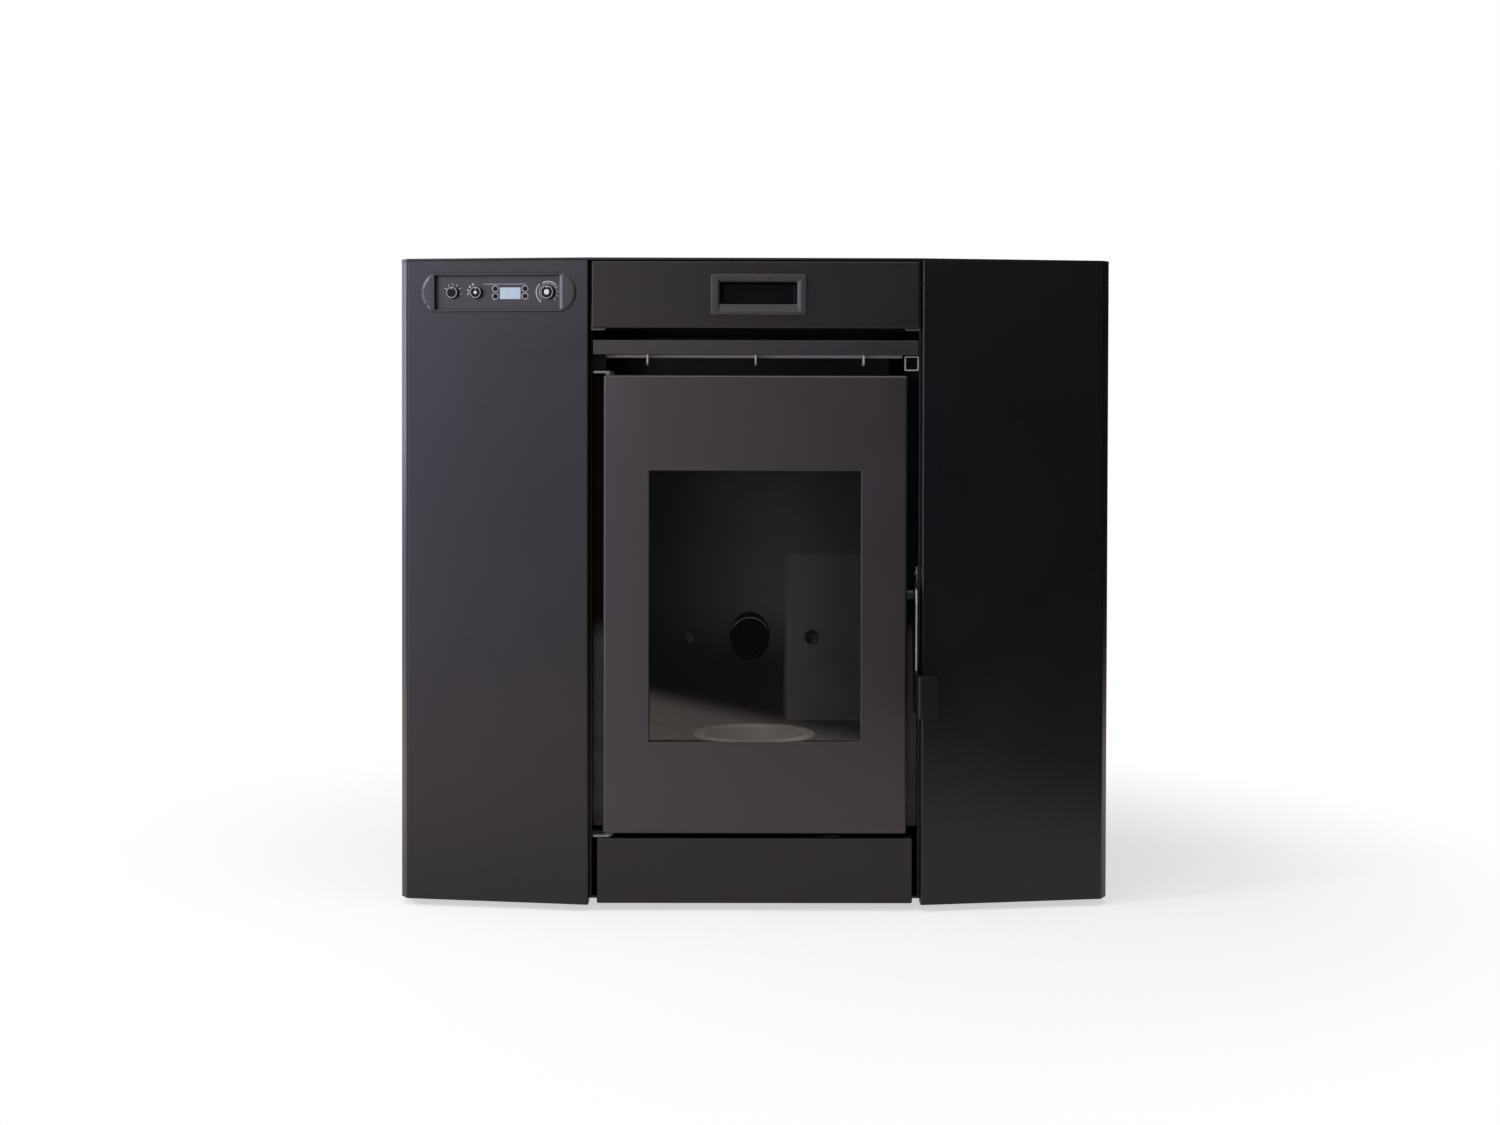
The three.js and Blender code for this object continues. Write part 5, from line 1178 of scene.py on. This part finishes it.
bolt_steel = metal("bolt_steel", (0.045, 0.043, 0.040), 0.16)
washer_black = stove_black("washer_black", (0.006, 0.006, 0.006), (0.012, 0.011, 0.011), (0.03, 0.03, 0.03))
for label in ("left", "right"):
    bolt_low, bolt_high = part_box(f"fireback_bolt_{label}")
    centre = (bolt_low + bolt_high) / 2
    head_y = (bolt_low.y, fireback_low.y - 0.0018)
    head = new_piece(
        "cylinder", vertices=6, radius=0.0075 / math.cos(math.pi / 6), depth=head_y[1] - head_y[0],
    )
    edit(head)
    pick(head, "FACE", lambda spot, way: way.z > 0.9)
    inset(0.0011)
    pick(head, "EDGE", lambda spot, run: spot.z > 0.0015 and spot.xy.length > 0.0068 and abs(run.z) < 0.1)
    bevel(0.0007, 3)
    pick(head, "FACE", lambda spot, way: way.z > 0.9 and spot.xy.length < 0.001)
    inset(0.0012, -0.0004)
    leave()
    face_front(head, (centre.x, sum(head_y) / 2, centre.z))
    soften(head, 0)
    fit(head, f"fireback_bolt_head_{label}", "stove", "stainless", bolt_steel, f"fireback_bolt_{label}")
    shank = new_piece(
        "cylinder", vertices=24, radius=0.004, depth=bolt_high.y - fireback_low.y,
        location=(centre.x, (bolt_high.y + fireback_low.y) / 2, centre.z), rotation=(math.pi / 2, 0, 0),
    )
    settle()
    round_edges(shank, 0.0008, 2, lambda spot, run: spot.y > bolt_high.y - 1e-5)
    soften(shank, 0)
    fit(shank, f"fireback_bolt_shank_{label}", "stove", "stainless", bolt_steel)
    ring = new_piece(
        "cylinder", vertices=32, radius=0.0098, depth=0.0016,
        location=(centre.x, fireback_low.y - 0.0009, centre.z),
        rotation=(math.pi / 2, 0, 0),
    )
    soften(ring, 0.0003)
    fit(ring, f"fireback_washer_{label}", "stove", "stainless", washer_black)

# ---- pellet chute --------------------------------------------------------------------------
# A steel pipe that slopes down from the auger and ends flush behind the fireback. Only its mouth shows; its
# inside is painted near black, with almost no gloss.
chute_black = stove_black(
    "chute_black", (0.0010, 0.0010, 0.0010), (0.0020, 0.0019, 0.0018), (0.004, 0.004, 0.004),
    (0.8, 0.95), 0.02,
)
repaint(chute_black, "pellet_chute")

# A thin ring lies on the mouth's edge; its top arc is painted pale, a painted highlight that shows against
# the black hole.
mouth_x, mouth_z, mouth_radius = -0.005, 0.313, 0.0272
mouth = new_piece(
    "torus", major_radius=mouth_radius, minor_radius=0.0005, major_segments=64, minor_segments=8,
    location=(mouth_x, fireback_low.y - 0.0002, mouth_z), rotation=(math.pi / 2, 0, 0),
)
settle()
soften(mouth, 0, angle=60)
mouth_steel, shader, place = finish_nodes("chute_mouth_steel", 0.35, metallic=0.3)
bright = slope(coordinate(place, "Z"), mouth_z + 0.008, mouth_z + 0.020)
wear_and_highlight = times(bright, ranged(grain(place, 300, 3), 0.6, 1.0))
feed(shader, "Base Color", two_tone(wear_and_highlight, (0.004, 0.004, 0.004), (0.85, 0.83, 0.80)))
relief(shader, grain(place, 900, 2), 0.00005)
fit(mouth, "chute_mouth_rim", "stove", "black_steel", mouth_steel)

# ---- burn pot ------------------------------------------------------------------------------
# A cast iron pot that hangs by its rim in the hearth shelf and lifts out for cleaning. The air
# holes in its floor are shallow dark discs; its rim is worn to a paler grey.
pot_low, pot_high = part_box("burn_pot")

def spun(section, steps, axis):
    """A body spun round Z or Y from its wall's closed section of radii and places on the axis."""
    piece = new_piece("circle", vertices=len(section), radius=0.01, fill_type="NOTHING")
    for corner, (radius, at) in zip(piece.data.vertices, section):
        corner.co = (radius, 0, at) if axis == "Z" else (radius, at, 0)
    edit(piece, "EDGE")
    take_all()
    pole = (0, 0, 1) if axis == "Z" else (0, 1, 0)
    bpy.ops.mesh.spin(steps=steps, angle=2 * math.pi, center=(0, 0, 0), axis=pole)
    take_all()
    bpy.ops.mesh.remove_doubles(threshold=1e-5)
    bpy.ops.mesh.normals_make_consistent(inside=False)
    leave()
    return piece

pot_centre = Vector(((pot_low.x + pot_high.x) / 2, (pot_low.y + pot_high.y) / 2, 0))
pot_rim = (pot_high.x - pot_low.x) / 2
pot_wall = 0.006
pot_section = [
    (0.006, pot_low.z), (0.060, pot_low.z), (0.0665, pot_low.z + 0.0025), (0.070, pot_low.z + 0.009),
    (0.070, pot_high.z - 0.006), (pot_rim - 0.002, pot_high.z - 0.006), (pot_rim, pot_high.z - 0.004),
    (pot_rim, pot_high.z - 0.0015), (pot_rim - 0.0015, pot_high.z), (0.0735, pot_high.z),
    (0.0725, pot_high.z - 0.0016), (0.0695, pot_high.z - 0.0016), (0.0685, pot_high.z - 0.0002),
    (0.0665, pot_high.z - 0.0002), (0.064, pot_high.z - 0.005), (0.064, pot_low.z + 0.020),
    (0.060, pot_low.z + 0.010), (0.055, pot_low.z + pot_wall), (0.006, pot_low.z + pot_wall),
]
pot = spun(pot_section, 72, "Z")
pot.matrix_world = Matrix.Translation(pot_centre)
soften(pot, 0, angle=28)
pot_iron, shader, place = finish_nodes("burn_pot_iron", 0.55, metallic=0.2)
up = coordinate(link_node(place.id_data, "ShaderNodeNewGeometry").outputs["Normal"], "Z")
wear_and_highlight = times(ranged(up, 0.15, 1.0, (0.1, 0.7)), ranged(grain(place, 50, 5), 0.5, 1.0))
feed(shader, "Base Color", two_tone(wear_and_highlight, (0.30, 0.275, 0.24), (0.78, 0.71, 0.60)))
relief(shader, grain(place, 420, 4), 0.00035)
fit(pot, "burn_pot_casting", "burn_pot", "cast_iron", pot_iron, "burn_pot")
# The holes are shallow discs painted near black: painted shade standing for the depth of holes through the
# floor.
hole_dark = stove_black("air_hole_dark", (0.002, 0.002, 0.002), (0.004, 0.004, 0.004), (0.01, 0.01, 0.01))
rings = ((0.018, 6), (0.032, 10), (0.046, 14))
for row, (radius, count) in enumerate(rings):
    for index in range(count):
        angle = 2 * math.pi * (index + 0.5 * (row % 2)) / count
        hole = new_piece("cylinder", vertices=12, radius=0.0026, depth=0.0012, location=(
            pot_centre.x + radius * math.cos(angle), pot_centre.y + radius * math.sin(angle),
            pot_low.z + pot_wall + 0.0001,
        ))
        edit(hole)
        pick(hole, "FACE", lambda spot, way: way.z > 0.9)
        inset(0.0007)
        extrude((0, 0, -0.0009))
        leave()
        soften(hole, 0)
        fit(hole, f"burn_pot_hole_{row}_{index}", "burn_pot", "cast_iron", hole_dark)

igniter_steel = metal("igniter_steel", (0.35, 0.33, 0.30), 0.35, metallic=1.0)
repaint(igniter_steel, "igniter")

# ---- control panel -------------------------------------------------------------------------
# A black moulded bezel with rounded ends, sunk in the left wing. Its rectangular recess holds
# three round knobs, a backlit display and four small buttons, with marks printed round them.
def turn_to_panel(piece):
    """Moves a piece built about the panel's middle, its front towards -Y, into the panel's plane."""
    turn = Matrix.Rotation(-panel_angle, 4, "Z")
    piece.matrix_world = Matrix.Translation(panel_origin) @ turn @ piece.matrix_world

bezel_half, bezel_rise = 0.100, 0.02475
bezel_end_rise = 0.017
bezel_proud = 0.0021
bezel_end_slope, bezel_side_slope = 0.0042, 0.0008
recess_half, recess_rise = 0.0825, 0.0215
recess_floor = 0.005
bezel_back = 0.008
end_radius = (bezel_rise ** 2 + bezel_end_rise ** 2) / (2 * bezel_end_rise)
end_span = math.asin(bezel_rise / end_radius)
end_steps = 16
bezel_outline = []
for side in (1, -1):
    for step in range(end_steps + 1):
        angle = -end_span + 2 * end_span * step / end_steps
        bezel_outline.append((
            side * (bezel_half - end_radius + end_radius * math.cos(angle)),
            side * end_radius * math.sin(angle),
        ))
bezel = prism(bezel_outline, "Y", (-bezel_proud, -0.0003))
edit(bezel)
pick(bezel, "FACE", lambda place, way: way.y < -0.9)
bpy.ops.transform.resize(value=(1 - bezel_end_slope / bezel_half, 1, 1 - bezel_side_slope / bezel_rise))
leave()
face_y = min(corner.co.y for corner in bezel.data.vertices)
tub_half, tub_rise = recess_half + 0.0018, recess_rise + 0.0013
seat_y = max(corner.co.y for corner in bezel.data.vertices)
on_seat = lambda place, way: abs(place.y - seat_y) < 1e-6 and way.y > 0.9
score(bezel, on_seat, planes(x=(-tub_half, tub_half), z=(-tub_rise, tub_rise)))
pick(bezel, "FACE", lambda place, way: (
    on_seat(place, way) and abs(place.x) < tub_half and abs(place.z) < tub_rise
))
extrude((0, bezel_back - seat_y, 0))
leave()
score(
    bezel, lambda place, way: abs(place.y - face_y) < 1e-6 and way.y < -0.9,
    planes(x=(-recess_half, recess_half), z=(-recess_rise, recess_rise)),
)
pick(bezel, "FACE", lambda place, way: (
    abs(place.y - face_y) < 1e-6 and abs(place.x) < recess_half and abs(place.z) < recess_rise
))
extrude((0, bezel_proud + recess_floor, 0))
pick(bezel, "EDGE", lambda place, way: (
    abs(place.y - face_y) < 1e-6 and (
        abs(abs(place.x) - recess_half) < 1e-5 and abs(place.z) < recess_rise + 1e-5
        or abs(abs(place.z) - recess_rise) < 1e-5 and abs(place.x) < recess_half + 1e-5)
))
bevel(0.0005, 2)
leave()
turn_to_panel(bezel)
soften(bezel, 0)
bezel_plastic = moulded_plastic(
    "bezel_plastic", (0.0125, 0.0115, 0.0130), (0.0180, 0.0165, 0.0185), (0.0125, 0.0115, 0.0130),
    (0.5, 0.6), (0.34, 0.44),
)
end_slope, shader, place = finish_nodes("bezel_end_slope", 0.22, metallic=0.9)
rubbed = ranged(grain(place, 160, 3), 0.0, 1.0)
feed(shader, "Base Color", two_tone(rubbed, (0.17, 0.17, 0.18), (0.22, 0.22, 0.23)))
relief(shader, grain(place, 1400, 2), 0.00001)
fit(bezel, "control_bezel_moulding", "stove", "black_plastic", bezel_plastic, "control_bezel")

# The left end's slope carries a satin metal trim, a thin curved strip that lies on it.
trim_rings = []
for reach, rise in ((-0.0002, 0.00015), (-0.0002, 0.0005), (-0.0036, 0.0021), (-0.0036, 0.0017)):
    band = []
    for step in range(end_steps + 1):
        angle = (end_span - 0.06) * (2 * step / end_steps - 1)
        spread = end_radius + reach
        band.append((
            -(bezel_half - end_radius + spread * math.cos(angle)), -rise - 0.0001, spread * math.sin(angle),
        ))
    trim_rings.append(band)
trim = new_piece("plane", size=0.01)
edit(trim, "VERT")
take_all()
bpy.ops.mesh.merge(type="CENTER")
for step in range(end_steps):
    extrude((0, 0, 0.001))
leave()
for corner, place in zip(trim.data.vertices, trim_rings[0]):
    corner.co = place
for before, after in zip(trim_rings, trim_rings[1:] + trim_rings[:1]):
    edit(trim, "EDGE")
    pick(trim, "EDGE", lambda spot, run: any(
        (spot - (Vector(a) + Vector(b)) / 2).length < 1e-6 for a, b in zip(before, before[1:])
    ))
    extrude((0, 0, 0))
    leave()
    for corner in trim.data.vertices:
        if corner.select:
            nearest = min(range(len(before)), key=lambda i: (Vector(before[i]) - corner.co).length)
            corner.co = after[nearest]
edit(trim, "EDGE")
take_all()
bpy.ops.mesh.remove_doubles(threshold=1e-6)
bpy.ops.mesh.select_all(action="DESELECT")
bpy.ops.mesh.select_non_manifold()
bpy.ops.mesh.fill_holes(sides=0)
face_out()
leave()
turn_to_panel(trim)
soften(trim, 0, angle=50)
fit(trim, "control_bezel_trim", "stove", "black_plastic", end_slope)

# A sloping fillet closes the recess at its right end and catches the light; its plastic is painted pale grey,
# a painted highlight.
fillet_x = (recess_half - 0.0040, recess_half - 0.0001)
fillet = prism(
    [(fillet_x[0], recess_floor + 0.0004), (fillet_x[0], -0.0004), (fillet_x[1], -0.0017),
     (fillet_x[1], recess_floor + 0.0004)],
    "Z", (-recess_rise + 0.0001, recess_rise - 0.0001),
)
turn_to_panel(fillet)
soften(fillet, 0.0002)
fillet_highlight_plastic = moulded_plastic(
    "fillet_highlight_plastic", (0.24, 0.24, 0.26), (0.28, 0.28, 0.30), (0.24, 0.24, 0.26), (0.5, 0.6), (0.20, 0.28),
)
fit(fillet, "control_bezel_fillet", "stove", "black_plastic", fillet_highlight_plastic)

# Printed marks: thin pale strokes lying on the recess's floor.
printed = powder_coat("printed_marks", (0.84, 0.84, 0.86), (0.92, 0.92, 0.94), (0.5, 0.6), 0.00001)
mark_y = recess_floor - 0.00012

def stroke(name, start, end, width):
    """One printed stroke, a thin closed strip between two places on the recess's floor."""
    start, end = Vector(start), Vector(end)
    run = end - start
    across = Vector((-run.y, run.x)).normalized() * width / 2
    corners = [start - across, end - across, end + across, start + across]
    mark = prism([tuple(corner) for corner in corners], "Y", (mark_y, recess_floor + 0.0002))
    turn_to_panel(mark)
    return fit(mark, name, "stove", "black_plastic", printed)

def arc_marks(name, centre, reach, angles, width):
    """Short strokes set round a knob, each from the inner to the outer reach."""
    for index, degrees in enumerate(angles):
        way = Vector((math.sin(math.radians(degrees)), math.cos(math.radians(degrees))))
        stroke(f"{name}_{index}", Vector(centre) + way * reach[0], Vector(centre) + way * reach[1], width)

def arc_line(name, centre, radius, span, width, steps):
    """A curved printed line round a knob, one thin closed band swept through an angle."""
    outline = []
    for side in (1, -1):
        for step in range(steps + 1):
            at = step if side > 0 else steps - step
            angle = math.radians(span[0] + (span[1] - span[0]) * at / steps)
            reach = radius + side * width / 2
            outline.append((centre[0] + reach * math.sin(angle), centre[1] + reach * math.cos(angle)))
    band = prism(outline, "Y", (mark_y, recess_floor + 0.0002))
    turn_to_panel(band)
    return fit(band, name, "stove", "black_plastic", printed)

knobs = {
    "mode": {"x": -0.0608, "radius": 0.0075, "height": 0.0054, "dish": 0.0},
    "fan": {"x": -0.0298, "radius": 0.0075, "height": 0.0060, "dish": 0.0024},
    "heat": {"x": 0.0623, "radius": 0.0085, "height": 0.0064, "dish": 0.0036},
}
knob_plastic = moulded_plastic(
    "knob_plastic", (0.010, 0.009, 0.010), (0.016, 0.015, 0.016), (0.010, 0.009, 0.010),
    (0.5, 0.6), (0.24, 0.34), 0.12,
)
knob_cap = metal("knob_cap", (0.62, 0.58, 0.58), 0.3)
for label, knob in knobs.items():
    radius, height = knob["radius"], knob["height"]
    body = new_piece("cylinder", vertices=48, radius=radius, depth=height - 0.0006)
    edit(body)
    pick(body, "FACE", lambda spot, way: way.z > 0.9)
    inset(0.0010)
    bpy.ops.transform.translate(value=(0, 0, 0.0006))
    inset(0.0009)
    inset(0.0004, -0.0005)
    pick(body, "FACE", lambda spot, way: (
        abs(way.z) < 0.1 and int(round(math.degrees(math.atan2(way.y, way.x)) / 7.5)) % 2 == 0
    ))
    bpy.ops.mesh.inset(thickness=0.00012, use_individual=True)
    bpy.ops.mesh.extrude_region_shrink_fatten(TRANSFORM_OT_shrink_fatten={"value": -0.0003})
    leave()
    face_front(body, (knob["x"], recess_floor - 0.0003 - (height - 0.0006) / 2, 0))
    turn_to_panel(body)
    soften(body, 0, angle=35)
    fit(body, f"knob_{label}_body", f"{label}_knob", "black_plastic", knob_plastic, f"knob_{label}")
    pointer = prism(
        [(knob["x"] - 0.0005, radius - 0.0034), (knob["x"] + 0.0005, radius - 0.0034),
         (knob["x"] + 0.0005, radius - 0.0011), (knob["x"] - 0.0005, radius - 0.0011)],
        "Y", (recess_floor - 0.0003 - height - 0.00012, recess_floor - height + 0.0004),
    )
    turn_to_panel(pointer)
    fit(pointer, f"knob_{label}_pointer", f"{label}_knob", "black_plastic", printed)
    ring = new_piece(
        "torus", major_radius=radius - 0.0011, minor_radius=0.00055, major_segments=48, minor_segments=8,
        location=(knob["x"], recess_floor - 0.0003 - height + 0.0004, 0), rotation=(math.pi / 2, 0, 0),
    )
    settle()
    turn_to_panel(ring)
    soften(ring, 0, angle=60)
    fit(ring, f"knob_{label}_ring", f"{label}_knob", "black_plastic", printed)
    if knob["dish"]:
        cap = new_piece("cylinder", vertices=32, radius=knob["dish"], depth=0.0014)
        round_edges(cap, 0.0007, 4, lambda spot, run: spot.z > 0.0006 and abs(run.z) < 0.1)
        face_front(cap, (knob["x"], recess_floor - height - 0.0001, 0))
        turn_to_panel(cap)
        soften(cap, 0)
        fit(cap, f"knob_{label}_cap", f"{label}_knob", "black_plastic", knob_cap)

arc_marks("mode_mark", (knobs["mode"]["x"], 0), (0.0092, 0.0120), (-60, -30, 0, 30, 60, 100), 0.0011)
arc_marks("fan_mark", (knobs["fan"]["x"], 0), (0.0090, 0.0106), (-90,), 0.0012)
fan_x = knobs["fan"]["x"]
for index, (degrees, size) in enumerate(((-100, 0.0014), (-75, 0.0019), (-50, 0.0025), (-25, 0.0030))):
    way = Vector((math.sin(math.radians(degrees)), math.cos(math.radians(degrees))))
    centre = Vector((fan_x, 0)) + way * 0.0114
    stroke(f"fan_step_{index}", centre - way * size / 2, centre + way * size / 2, 0.0024)
heat_centre = (knobs["heat"]["x"], 0.0)
arc_line("heat_scale_line", heat_centre, 0.0150, (-145, -45), 0.0013, 24)
arc_line("heat_scale_top", heat_centre, 0.0136, (-32, 48), 0.0014, 20)
arc_line("heat_scale_inner", heat_centre, 0.0112, (-140, 140), 0.0006, 32)
arc_marks("heat_mark", heat_centre, (0.0122, 0.0146), range(60, 136, 25), 0.0009)
stroke("display_rule", (-0.0215, 0.0105), (0.0335, 0.0105), 0.0006)

# The display: a pale blue backlit pane that lies on the recess's floor.
display_centre, display_half, display_rise = (0.0137, -0.001), 0.0133, 0.0073
glowing, shader, place = finish_nodes("display_pane", 0.18)
shade = ranged(grain(place, 120, 2), 0.0, 1.0)
feed(shader, "Base Color", two_tone(shade, (0.50, 0.62, 0.72), (0.56, 0.68, 0.78)))
shader.inputs["Emission Color"].default_value = (0.60, 0.74, 0.86, 1)
shader.inputs["Emission Strength"].default_value = 0.28
pane = prism(
    [(display_centre[0] + side * display_half, display_centre[1] + up * display_rise)
     for side, up in ((-1, -1), (1, -1), (1, 1), (-1, 1))],
    "Y", (recess_floor - 0.0004, recess_floor + 0.0015),
)
turn_to_panel(pane)
soften(pane, 0.0003)
fit(pane, "display_window", "stove", "display", glowing, "display_module")

# Four buttons, each a small cap with rounded edges and a shallow dimple in a printed ring.
button_size = (0.0046, 0.0036, 0.0046)
for column, x in (("left", -0.0057), ("right", 0.0329)):
    for row, z in (("upper", 0.0047), ("lower", -0.0047)):
        cap = new_piece("cube", size=1)
        cap.scale = button_size
        settle()
        edit(cap)
        pick(cap, "EDGE", lambda spot, run: abs(run.y) > 0.9)
        bevel(0.0010, 4)
        pick(cap, "FACE", lambda spot, way: way.y < -0.9)
        inset(0.0006)
        inset(0.0005, -0.0003)
        leave()
        cap.matrix_world = Matrix.Translation((x, recess_floor + 0.0002, z))
        turn_to_panel(cap)
        soften(cap, 0.0002, angle=40)
        fit(cap, f"button_cap_{row}_{column}", f"{row}_{column}_button", "black_plastic", knob_plastic,
            f"button_{row}_{column}")
        arc_line(f"button_ring_{row}_{column}", (x, z), 0.0038, (0, 350), 0.0009, 20)
circuit = metal("circuit_board", (0.02, 0.09, 0.045), 0.5, metallic=0.1)
repaint(circuit, "control_board")

# ---- rear panel ----------------------------------------------------------------------------
# A flat black sheet set inside the wings' rear returns, with room air louvres low down and
# holes for the flue, the air pipe and the mains inlet. Screws hold it round its edge.
rear_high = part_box("rear_panel")[1]
rear_paint = powder_coat("rear_paint", (0.0120, 0.0115, 0.0120), (0.0180, 0.0170, 0.0175), (0.42, 0.55))
repaint(rear_paint, "rear_panel")
rear_screws = [
    (-0.424, 0.05), (-0.424, 0.29), (-0.424, 0.54), (-0.424, 0.79), (-0.22, 0.79), (0.0, 0.79),
    (0.424, 0.05), (0.424, 0.29), (0.424, 0.54), (0.424, 0.79), (0.22, 0.79),
]
for index, (x, z) in enumerate(rear_screws):
    socket_screw(f"rear_screw_{index}", (x, rear_high.y - 0.0001, z), (0, 1, 0), 0.0042, 0.0020)

# Louvre hoods: each slot has a lip pressed outwards over it, so that air is drawn from below.
louvre_x = (0.050, 0.170)
louvre_first, louvre_pitch, louvre_height = 0.031, 0.014, 0.006
for index in range(6):
    z = louvre_first + index * louvre_pitch
    path = [
        (rear_high.y - 0.0002, z + louvre_height + 0.0015), (rear_high.y + 0.0030, z + louvre_height * 0.35),
    ]
    hood = folded_strip(path, (louvre_x[0] - 0.001, louvre_x[1] + 0.001), "X", 0)
    thicken(hood, 0.0010, side=0)
    soften(hood, 0.0003)
    fit(hood, f"louvre_hood_{index}", "stove", "black_steel", rear_paint)

# ---- flue spigot and air pipe --------------------------------------------------------------
# The flue leaves through an 80 mm spigot with a swaged bead and a rolled end; combustion air
# comes in through a 50 mm pipe beside it. Both are pushed through the rear panel.
def swaged_pipe(name, node, centre, outer, wall, flange, beads, material):
    """A pipe along Y spun from its wall's section, with beads pressed out near its open end."""
    low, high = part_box(node)
    section = [
        (outer + flange, low.y), (outer + flange, low.y + 0.003), (outer, low.y + 0.0035),
    ] if flange else [(outer, low.y)]
    for bead in beads:
        at = high.y - bead
        section += [(outer, at - 0.0042), (outer + 0.0014, at - 0.0022), (outer + 0.0019, at),
                    (outer + 0.0014, at + 0.0022), (outer, at + 0.0042)]
    section += [
        (outer, high.y - 0.0008), (outer - wall * 0.3, high.y), (outer - wall * 0.7, high.y),
        (outer - wall, high.y - 0.0008), (outer - wall, low.y),
    ]
    tube = spun(section, 64, "Y")
    tube.matrix_world = Matrix.Translation((centre[0], 0, centre[1]))
    soften(tube, 0, angle=28)
    return fit(tube, name, "stove", "zinc_steel", material, node)

galvanised, shader, place = finish_nodes("galvanised", 0.42, metallic=0.85)
flakes = link_node(place.id_data, "ShaderNodeTexVoronoi", {"Vector": place, "Scale": 140.0})
tone = link_node(place.id_data, "ShaderNodeSeparateColor", {0: flakes.outputs["Color"]}).outputs[0]
feed(shader, "Base Color", two_tone(tone, (0.34, 0.34, 0.345), (0.52, 0.52, 0.53)))
feed(shader, "Roughness", ranged(tone, 0.30, 0.52, (0.0, 1.0)))
relief(shader, grain(place, 300, 3), 0.00003)
swaged_pipe(
    "flue_spigot_pipe", "flue_spigot", (-0.155, 0.100), 0.040, 0.002, 0.006, (0.014, 0.030), galvanised,
)
swaged_pipe("air_pipe", "air_intake_pipe", (0.120, 0.165), 0.025, 0.002, 0.0, (0.012,), galvanised)

# Sealing rings where the two pipes pass the panel: a pressed collar, screwed on, black.
for name, centre, inner in (("flue", (-0.155, 0.100), 0.0403), ("air", (0.120, 0.165), 0.0253)):
    section = [
        (inner, rear_high.y + 0.0003), (inner + 0.013, rear_high.y + 0.0003),
        (inner + 0.013, rear_high.y + 0.0014), (inner + 0.005, rear_high.y + 0.0018),
        (inner + 0.0015, rear_high.y + 0.0045), (inner, rear_high.y + 0.0050),
    ]
    collar = spun(section, 64, "Y")
    collar.matrix_world = Matrix.Translation((centre[0], 0, centre[1]))
    soften(collar, 0, angle=28)
    fit(collar, f"{name}_collar", "stove", "black_steel", rear_paint)
    for index in range(4):
        angle = math.pi / 4 + index * math.pi / 2
        reach = inner + 0.009
        socket_screw(
            f"{name}_collar_screw_{index}",
            (centre[0] + reach * math.cos(angle), rear_high.y + 0.0012, centre[1] + reach * math.sin(angle)),
            (0, 1, 0), 0.0026, 0.0014,
        )

# ---- mains inlet ---------------------------------------------------------------------------
# A mains inlet moulded in black plastic with its blades and a rocker, clipped into the rear
# panel. Both solids are carried over as they are and only take their plastic.
inlet_black = moulded_plastic(
    "inlet_black", (0.012, 0.012, 0.012), (0.020, 0.020, 0.020), (0.012, 0.012, 0.012),
    (0.5, 0.6), (0.35, 0.5),
)
repaint(inlet_black, "mains_inlet")
rocker_black = moulded_plastic(
    "rocker_black", (0.016, 0.015, 0.015), (0.026, 0.025, 0.025), (0.016, 0.015, 0.015),
    (0.5, 0.6), (0.25, 0.35),
)
repaint(rocker_black, "rocker_switch")

# ---- feet ----------------------------------------------------------------------------------
# Four rubber soled levelling feet on threaded steel stems, screwed into the base plate and
# almost hidden under the casing.
foot_rubber = stove_black("foot_rubber", (0.012, 0.012, 0.012), (0.022, 0.021, 0.021), (0.05, 0.048, 0.045))
repaint(foot_rubber, "foot_front_left", "foot_front_right", "foot_rear_left", "foot_rear_right")

# ---- hopper, auger and fans ----------------------------------------------------------------
# The working parts behind the firebox: a black painted hopper over the auger, its gearmotor, the
# exhaust fan with its housing and the room fan on the floor plate.
repaint(chassis_paint, "hopper", "auger_gearmotor", "exhaust_fan_motor")
repaint(zinc, "auger_tube", "exhaust_fan_housing", "room_fan_housing")
repaint(stainless, "auger_screw", "exhaust_fan_wheel")
repaint(inlet_black, "room_fan_wheel")
